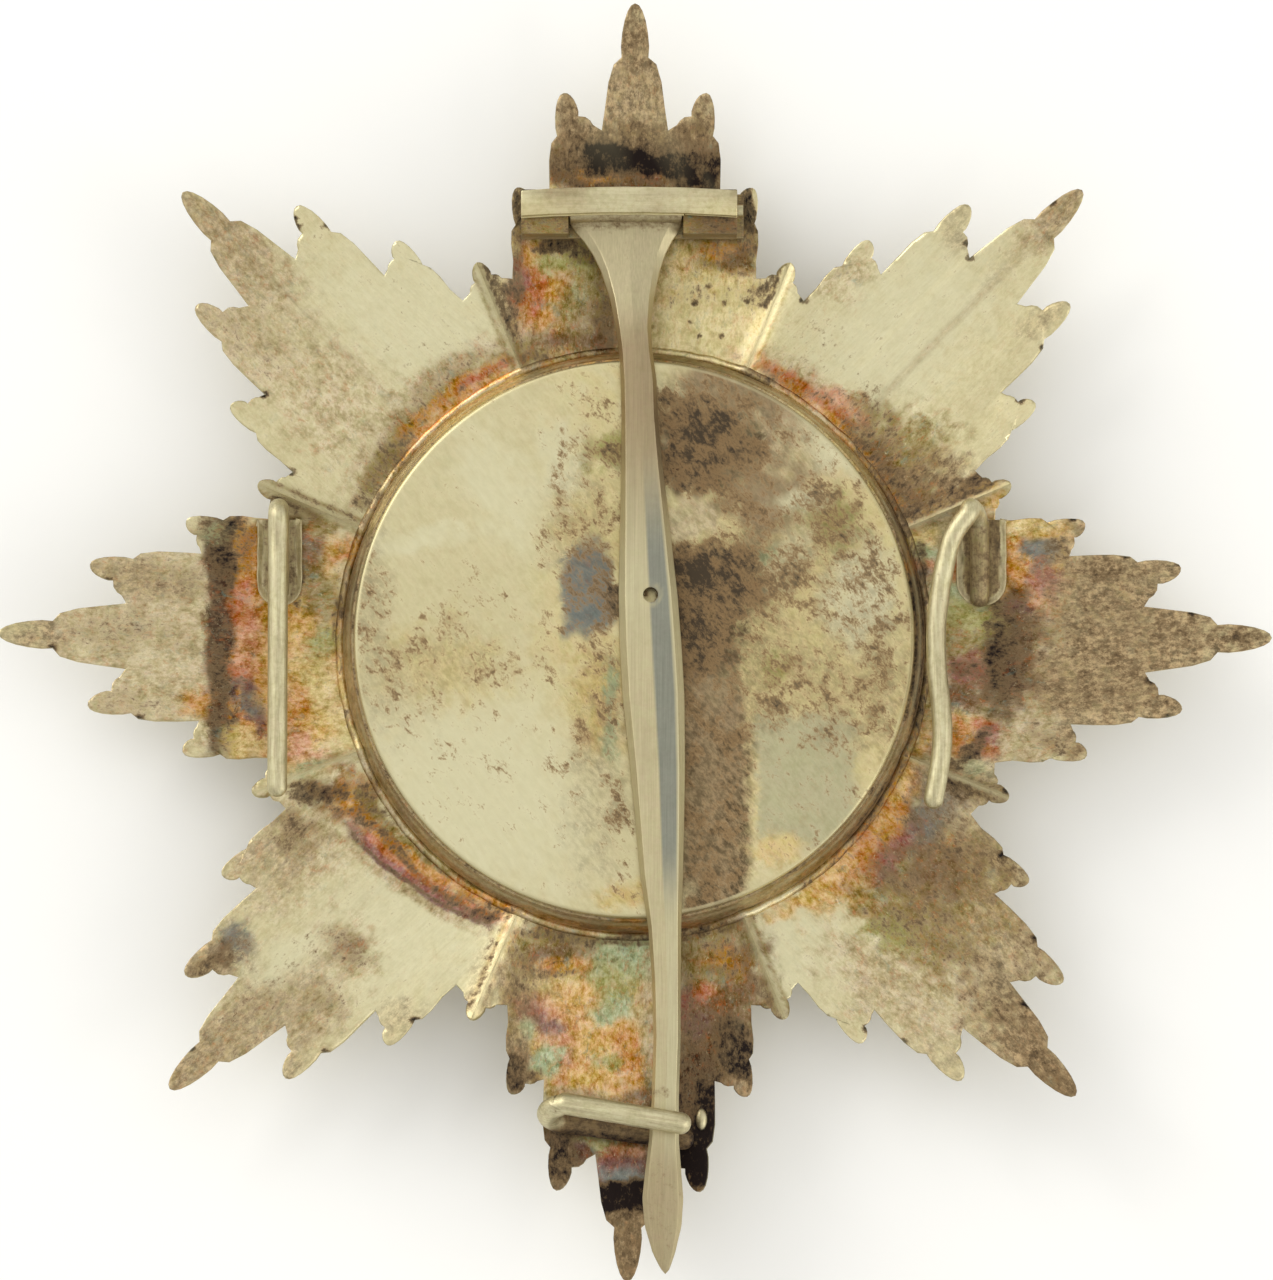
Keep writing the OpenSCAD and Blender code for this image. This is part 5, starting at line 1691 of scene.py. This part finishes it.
@dataclass
class SideHook:
    """A side hook: a plate, and a wire soldered to it that turns back and runs down."""

    name: str
    plate: HookPlate
    knots: list[Vector]
    wire: float = 1.35
    flats: Triples = ()
    # How brown the plate is, with painted shadow near the wire, and how dark the end of the wire on it is,
    # with painted shade at its foot
    plate_brown_and_shadow: float = 0.8
    foot_brown_and_shade: float = 0.7

    def build(self) -> Object:
        """Makes the hook."""
        bm = bmesh.new()
        self.plate.draw(bm)
        Wire(self.knots, self.wire, Vector((1, 0, 0)), flats=self.flats).draw(bm)
        bmesh.ops.recalc_face_normals(bm, faces=bm.faces)
        smooth_faces(bm, 40)
        piece = finished(bm, self.name, [WIRE_SILVER])
        points = points_of(piece.data)
        x, y, height = (points[:, axis] / MM for axis in range(3))
        low = fall(7.6, 8.3, height)
        rim = self.plate.on_rim(x, y) * low
        wire = fall(0.42, 0.52, np.abs(x - self.knots[0].x) / self.wire)
        on_plate = low * (1 - wire)
        stir = turbulence(points, 0.8, 6.0)
        rim = np.clip(rim + 0.5 * stir[:, 1] * (rim > 0), 0, 1) * on_plate
        # Brown on the sunk plate and at the wire's foot, with painted shade there
        brown_and_shade = on_plate * (1 - rim) * self.plate_brown_and_shadow + low * wire * self.foot_brown_and_shade
        grime = brown_and_shade * (1 + 0.5 * stir[:, 0]) + 0.12 * rim
        tone = blend_tones((WIRE, 1 + 0 * low), (OLIVE, 0.9 * brown_and_shade), (SAND, 0.7 * rim))
        store(piece.data, grime=grime, tone=tone, rim=0.5 * rim)
        return piece


def wire_seat(y: float, plate: HookPlate, wire: float) -> float:
    """Height of the middle of a wire that lies on a plate, a little sunk in solder."""
    drop = (plate.top - y) * math.tan(math.radians(plate.tilt))
    return plate.low + plate.thickness - drop + wire / 2 - 0.12


def left_hook() -> SideHook:
    """The left hook, whose wire runs straight."""
    plate = HookPlate(-25.2, -22.2)
    wire, x, lift = 1.35, -23.7, 2.2
    high = wire_seat(plate.top, plate, wire) + lift
    turn = half_turn(
        Vector((x, 7.9, wire_seat(7.9, plate, wire))), Vector((x, 7.9, high)), Vector((0, 0.75, 0)),
    )
    knots = [Vector((x, 3.3, wire_seat(3.3, plate, wire))), *turn]
    knots += [Vector((x, y, high)) for y in (4.0, 0.0, -4.0, -8.0, -10.1)]
    flats = ((0.36, 0.05, 0.16), (1.0, 0.04, 0.12))
    return SideHook("side_hook_left_silver", plate, knots, wire, flats, 0.46, 0.16)


def right_hook() -> SideHook:
    """The right hook, whose wire has been bent inwards."""
    plate = HookPlate(21.6, 24.9)
    wire, lift = 1.35, 2.2
    high = wire_seat(plate.top, plate, wire) + lift
    turn = half_turn(
        Vector((23.1, 7.4, wire_seat(7.4, plate, wire))), Vector((22.3, 8.2, high)),
        Vector((0, 0.7, 0)),
    )
    run = (
        (21.3, 6.8), (20.75, 5.0), (20.35, 2.8), (20.1, 0.4), (20.15, -2.2), (20.4, -4.6), (20.5, -6.8),
        (20.25, -9.0), (19.9, -10.9),
    )
    knots = [Vector((23.1, 2.9, wire_seat(2.9, plate, wire))), *turn]
    knots += [Vector((x, y, high)) for x, y in run]
    return SideHook("side_hook_right_silver", plate, knots, wire, (), 0.74, 0.60)


@dataclass
class Pin:
    """The pin: a filed blade with bevelled sides and a low ridge, rolled round the rod."""

    rod_y: float = 28.7
    rod_z: float = 8.2
    knuckle_radius: float = 0.8
    knuckle_bevel: float = 0.08
    bevel: float = 0.24
    square: float = 0.5
    ridge: float = 0.10
    hole: Pair = (1.1, 2.75)
    hole_radius: float = 0.5
    # The drill that cuts the hole: the height of its middle, and its length
    drill_height: float = 9.0
    drill_length: float = 4.0
    step: float = 0.3
    # Where the blade ends and its rolled head begins
    neck_y: float = 27.5

    def section(self) -> list[Pair]:
        """The blade's outline: across from -1 to 1, and over from 0 to 1."""
        flat = 1 - self.bevel
        facet = [k / 8 * (flat - 0.02) for k in range(9)]
        half = [(u, 1 + self.ridge * (1 - u / facet[-1])) for u in facet] + [
            (flat + 0.02, 0.975), (0.985, self.square + 0.04), (1.0, self.square - 0.03), (1.0, 0.06),
            (0.96, 0.0),
        ]
        return half + [(-u, v) for u, v in half[:0:-1]]

    def build(self, node: Object) -> Object:
        """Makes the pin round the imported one's own sections.

        Args:
            node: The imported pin.

        Returns:
            The finished piece.
        """
        cad = merged_copy(node)
        front = (self.rod_y - 0.15) * MM
        tip = min(v.co.y for v in cad.verts)
        count = round((front - tip) / (self.step * MM))
        stations = []
        for k in range(count):
            y = front + (tip - front) * k / count
            x0, x1, z0, z1 = self._measure(cad, y)
            low, high = z0, z0 + (z1 - z0) / (1 + self.ridge)
            stations.append(
                Station(
                    Vector(((x0 + x1) / 2, y, low)) / MM,
                    Vector(((x1 - x0) / 2, 0, 0)) / MM,
                    Vector((0, 0, high - low)) / MM,
                )
            )
        cad.free()
        bm = bmesh.new()
        end = stations[-1]
        point = Vector((end.middle.x, tip / MM + 0.02, end.middle.z + 0.12))
        stations.append(Station(point, end.across * 0.05, end.over * 0.2))
        sweep(bm, self.section(), stations)
        self._roll(bm, stations[0])
        bmesh.ops.recalc_face_normals(bm, faces=bm.faces)
        smooth_faces(bm, 5)
        self._soften(bm)
        piece = finished(bm, "pin_blade", [PIN_SILVER])
        self._pierce(piece)
        run = [(s.middle.x, s.middle.y, s.across.x) for s in reversed(stations)]
        self._tone(piece.data, np.array(run))
        return piece

    @staticmethod
    def _measure(cad: BMesh, y: float) -> tuple[float, float, float, float]:
        """Left, right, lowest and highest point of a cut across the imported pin."""
        cuts = []
        for edge in cad.edges:
            a, b = edge.verts[0].co, edge.verts[1].co
            if (a.y - y) * (b.y - y) < 0:
                cuts.append(a.lerp(b, (y - a.y) / (b.y - a.y)))
        xs, zs = [c.x for c in cuts], [c.z for c in cuts]
        return min(xs), max(xs), min(zs), max(zs)

    def _roll(self, bm: BMesh, head: Station) -> None:
        """Adds the rolled end round the rod."""
        width = head.across.x
        turn = Matrix.Rotation(math.radians(90), 4, "Y")
        place = Matrix.Translation(Vector((head.middle.x, self.rod_y, self.rod_z)) * MM)
        verts = cylinder(bm, self.knuckle_radius, 2 * width, 40, place @ turn)
        steep = math.radians(60)
        rims = unique(e for v in verts for e in v.link_edges if e.calc_face_angle(0) > steep)
        bevel(bm, rims, self.knuckle_bevel, 2)

    def _soften(self, bm: BMesh) -> None:
        """Lets cross edges shade smooth, so that only the filed edges stay crisp."""
        for edge in bm.edges:
            a, b = edge.verts[0].co, edge.verts[1].co
            run = b - a
            if run.length > 0 and abs(run.normalized().y) < 0.5 and a.y < self.neck_y * MM:
                edge.smooth = True

    def _pierce(self, piece: Object) -> None:
        """Drills the small hole through the blade."""
        bm = bmesh.new()
        x, y = self.hole
        place = Matrix.Translation(Vector((x, y, self.drill_height)) * MM)
        cylinder(bm, self.hole_radius, self.drill_length, 32, place)
        drill = mesh_object(bm, "drill")
        cut = piece.modifiers.new("hole", "BOOLEAN")
        cut.operation = "DIFFERENCE"
        cut.solver = "EXACT"
        cut.object = drill
        bpy.context.view_layer.update()
        graph = bpy.context.evaluated_depsgraph_get()
        made = bpy.data.meshes.new_from_object(piece.evaluated_get(graph))
        piece.modifiers.clear()
        old, piece.data = piece.data, made
        made.name = "pin_blade"
        bpy.data.meshes.remove(old)
        bpy.data.objects.remove(drill)

    def _tone(self, mesh: Mesh, run: np.ndarray) -> None:
        """Paints the pin: mauve near the hinge, blue-grey painted shade on its right facet, and painted
        shadow with tarnish on its head.

        Args:
            mesh: The pin's mesh.
            run: Middle line and half width, as rows of X, Y and half width.
        """
        points = points_of(mesh)
        places = VIEW.to_px(points)
        down = places[:, 1]
        x, y, z = (points[:, axis] / MM for axis in range(3))
        middle = np.interp(y, run[:, 1], run[:, 0])
        across = (x - middle) / np.interp(y, run[:, 1], run[:, 2])
        right = smooth_step(0.0, 0.09, across)
        inside = fall(0.66, 0.75, np.abs(across))
        along = smooth_step(440, 560, down) * fall(840, 930, down)
        mauve = fall(400, 600, down) * (0.35 + 0.6 * smooth_step(290, 350, down))
        point = smooth_step(1120, 1180, down)
        # Blue-grey painted shade on the right facet, which faces away from the light
        shaded_facet = 0.8 * right * inside * along
        brown = 0.35 * smooth_step(560, 700, down) * (across < 0)
        layers = ((TAN, brown), (MAUVE, mauve + 0.65 * point), (SLATE, shaded_facet))
        tone = blend_tones((WIRE, 1 + 0 * z), *layers)
        # Painted shadow, with tarnish, on the head under the hinge's strip
        head = fall(222, 236, down)
        below = fall(8.5, 8.7, z)
        hole = np.hypot(x - self.hole[0], y - self.hole[1])
        bore = fall(self.hole_radius + 0.01, self.hole_radius + 0.10, hole)
        notch = hill(1092, 7, down) * fall(0, 0.7, across)
        grime = 0.50 * head + 0.55 * bore + 0.55 * notch + 0.10 * below + 0.22 * point
        ring = hill(self.hole_radius + 0.18, 0.1, hole)
        rim = 0.8 * ring + 0.30 * (1 - inside) * (1 - mauve)
        store(mesh, tone=tone, grime=np.clip(grime, 0, 1), rim=np.clip(rim, 0, 1))


@dataclass
class Hinge:
    """The hinge: a bowed strip folded over a back wall, on two blocks and a base."""

    left: float = -7.55
    right: float = 7.35
    strip_right: float = 6.9
    back: float = 30.05
    front: float = 27.1
    strip_front: float = 28.3
    bottom: float = 6.42
    base: float = 0.5
    strip_bottom: float = 9.1
    strip_thickness: float = 0.5
    block_top: float = 8.8
    head_left: float = -4.38
    head_right: float = 3.28
    back_wall: float = 0.5
    bow: float = 0.24
    edge_bevel: float = 0.09

    def build(self) -> list[Object]:
        """Makes the strip and the blocks under it.

        Returns:
            The strip, then the blocks.
        """
        left, right, end, back = self.left, self.right, self.strip_right, self.back
        front, low, high = self.strip_front, self.strip_bottom, self.block_top
        strip = bmesh.new()
        # The strip, and the two lips that its fold left along its front
        self._bar(strip, (left, front, low), (end, back, low + self.strip_thickness))
        self._bar(strip, (left + 0.02, front - 0.10, low + 0.01), (3.35, front + 0.16, low + 0.14))
        self._bar(strip, (3.4, front - 0.04, low - 0.06), (end, front + 0.16, low + 0.08))
        self._bow(strip)
        smooth_faces(strip, 30)
        piece = finished(strip, "hinge_strip", [STRIP_SILVER])
        points = points_of(piece.data)
        x, y, z = (points / MM).T
        lip = fall(front, front + 0.25, y)
        left_part = fall(3.0, 3.6, x)
        grime = 0.6 * fall(low - 0.1, low + 0.2, z) * (1 - left_part)
        cloud = turbulence(points / np.array([2.5, 1, 1]), 1.1, 2.0)[:, 0]
        patches = smooth_step(-0.1, 0.5, cloud) * (1 - lip)
        tone = blend_tones((WIRE, 1 + 0 * lip), (MAUVE, 0.7 * patches), (CREAM, 0.6 * lip))
        store(piece.data, rim=0.7 * lip * left_part, grime=grime, tone=tone)

        blocks = bmesh.new()
        floor, near, inner = self.bottom, self.front, front + 0.1
        block_left, block_right = self.head_left, self.head_right
        boxes = [
            ((left, near - 0.05, floor), (right, back, floor + self.base)),
            ((left, back - self.back_wall, floor), (end, back, low + 0.1)),
            ((left, near, floor + 0.1), (block_left, back, high)),
            ((block_right, near, floor + 0.1), (end, back, high)),
            ((left, inner, high - 0.2), (block_left, back, low + 0.1)),
            ((block_right, inner, high - 0.2), (end, back, low + 0.1)),
        ]
        for low_corner, high_corner in boxes:
            self._bar(blocks, low_corner, high_corner)
        smooth_faces(blocks, 30)
        holder = finished(blocks, "hinge_blocks", [BLOCK_SILVER])
        points = points_of(holder.data)
        x, y, _ = (points / MM).T
        rim = 0.5 * fall(near - 0.02, near + 0.10, y)
        cloud = turbulence(points / np.array([2.0, 1, 1]), 0.9, 5.0)
        dark = smooth_step(-0.2, 0.4, cloud[:, 0])
        light = smooth_step(0.1, 0.5, cloud[:, 1])
        tone = blend_tones((OLIVE, 1 + 0 * x), (TAN, light), (BROWN, 0.8 * dark))
        corner = fall(0.05, 0.35, np.minimum(abs(x - left), abs(x - right)))
        store(holder.data, rim=rim, tone=tone, grime=0.22 + 0.30 * dark + 0.35 * corner)
        return [piece, holder]

    def _bar(self, bm: BMesh, low: Triple, high: Triple) -> None:
        """Adds a bar between two corners, cut in short lengths, with softened edges."""
        size = Vector(high) - Vector(low)
        middle = (Vector(high) + Vector(low)) / 2
        matrix = Matrix.Translation(middle * MM) @ Matrix.Diagonal((*(size * MM), 1))
        made = bmesh.ops.create_cube(bm, size=1, matrix=matrix)["verts"]
        edges = unique(e for v in made for e in v.link_edges)
        offset = min(self.edge_bevel, min(size) * 0.3)
        rounded = unique(e for v in bevel(bm, edges, offset, 3) for e in v.link_edges)
        least = 0.9 * (size.x - 2 * offset) * MM
        long = [e for e in rounded if abs(e.verts[0].co.x - e.verts[1].co.x) > least]
        bmesh.ops.subdivide_edges(bm, edges=long, cuts=24, use_grid_fill=True)

    def _bow(self, bm: BMesh) -> None:
        """Bows the strip towards the star's top, as the photograph shows."""
        half = (self.strip_right - self.left) / 2
        middle = (self.strip_right + self.left) / 2
        for vert in bm.verts:
            part = (vert.co.x / MM - middle) / half
            vert.co.y += self.bow * (1 - part * part) * MM - 0.5 * self.bow * MM
            vert.co.y += 0.02 * noise.noise(vert.co / MM) * MM


@dataclass(frozen=True)
class Studio:
    """A plain pale table under soft light from the upper left."""

    table: str = "#f4f3ef"
    reach: float = 3.0
    # Lights: place in metres, width, power in watts
    panels: tuple[tuple[Triple, float, float], ...] = (
        ((-0.80, 0.70, 0.60), 0.7, 6.5), ((0.85, -0.30, 0.50), 0.6, 2.5),
    )
    # Brightness of the sky at the horizon and overhead
    sky: Pair = (0.62, 0.97)
    # How steep the way to the brightest sky is
    sky_top: float = 0.9
    sky_colour: tuple[float, ...] = (1.0, 0.995, 0.98, 1.0)

    def build(self) -> None:
        """Lays the table and hangs the lights."""
        bm = bmesh.new()
        bmesh.ops.create_grid(bm, x_segments=1, y_segments=1, size=self.reach)
        bmesh.ops.translate(bm, verts=bm.verts, vec=(0, 0, -0.00005))
        table = mesh_object(bm, "table")
        table.data.materials.append(self._paper())
        for number, (place, width, power) in enumerate(self.panels):
            data = bpy.data.lights.new(f"panel_{number}", "AREA")
            data.size = width
            data.energy = power
            light = link_new(f"panel_{number}", data)
            light.location = place
            light.rotation_mode = "QUATERNION"
            light.rotation_quaternion = Vector(place).to_track_quat("Z", "Y")
        world = bpy.data.worlds.new("studio")
        world.use_nodes = True
        nodes = Nodes(world.node_tree)
        height = nodes.add("SeparateXYZ", {}, {0: nodes.place()}).outputs["Z"]
        glow = nodes.remap(height, 0, self.sky_top, *self.sky)
        sky = nodes.tree.nodes["Background"]
        sky.inputs["Color"].default_value = self.sky_colour
        nodes.tree.links.new(glow, sky.inputs["Strength"])
        bpy.context.scene.world = world
        bpy.context.scene.view_settings.view_transform = "Standard"

    def _paper(self) -> bpy.types.Material:
        """Matte white paper: an even pale ground with a faint tooth."""
        made = bpy.data.materials.new("matte_paper")
        made.use_nodes = True
        nodes = Nodes(made.node_tree)
        shader = nodes.tree.nodes["Principled BSDF"]
        tooth = nodes.add("TexNoise", {}, {"Vector": nodes.place(), "Scale": 900.0}).outputs[0]
        links = {"Strength": 0.1, "Distance": 0.0001, "Height": tooth}
        bump = nodes.add("Bump", {}, links).outputs[0]
        shader.inputs["Base Color"].default_value = linear(self.table)
        shader.inputs["Roughness"].default_value = 0.9
        nodes.tree.links.new(bump, shader.inputs["Normal"])
        return made


def dress(nodes: dict[str, Object], name: str, silver: Silver) -> None:
    """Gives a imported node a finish."""
    mesh = nodes[name].data
    mesh.materials.clear()
    mesh.materials.append(silver.material())


def place(piece: Object, body: str, slot: str, *replaced: str) -> None:
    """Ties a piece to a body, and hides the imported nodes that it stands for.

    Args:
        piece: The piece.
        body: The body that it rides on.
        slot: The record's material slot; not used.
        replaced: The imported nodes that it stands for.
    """
    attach(piece, body)
    if replaced:
        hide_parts(*replaced)
    LOG.info("%s rides on %s", piece.name, body)


def main() -> None:
    """Builds the star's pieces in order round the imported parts."""
    logging.basicConfig(level=logging.INFO, format="%(name)s: %(message)s")
    noise.seed_set(NOISE_SEED)
    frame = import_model()
    nodes = frame["nodes"]
    VIEW.make_camera()
    Studio().build()

    surface = ArmSurface()
    place(StarSheet(surface).build(nodes["star_sheet"]), "star", "arms_silver", "star_sheet")
    drum = Drum(surface)
    place(drum.build_lid(), "star", "lid_silver", "back_lid")
    place(drum.build_wall(), "star", "collar_silver", "hub_collar")
    place(drum.build_seam(), "star", "collar_silver")
    strip, blocks = Hinge().build()
    place(strip, "star", "hinge_silver", "hinge_box")
    place(blocks, "star", "hinge_silver")
    place(Pin().build(nodes["pin"]), "pin", "pin_silver", "pin")
    place(Catch().build(), "star", "wire_silver", "catch_hook")
    place(left_hook().build(), "star", "wire_silver", "side_hook_left")
    place(right_hook().build(), "star", "wire_silver", "side_hook_right")
    for name, silver in (
        ("front_ring", FRONT_SILVER), ("front_disc", FRONT_SILVER), ("hinge_rod", ROD_SILVER),
        ("solder_drop", ROD_SILVER),
    ):
        dress(nodes, name, silver)


if __name__ == "__main__":
    main()
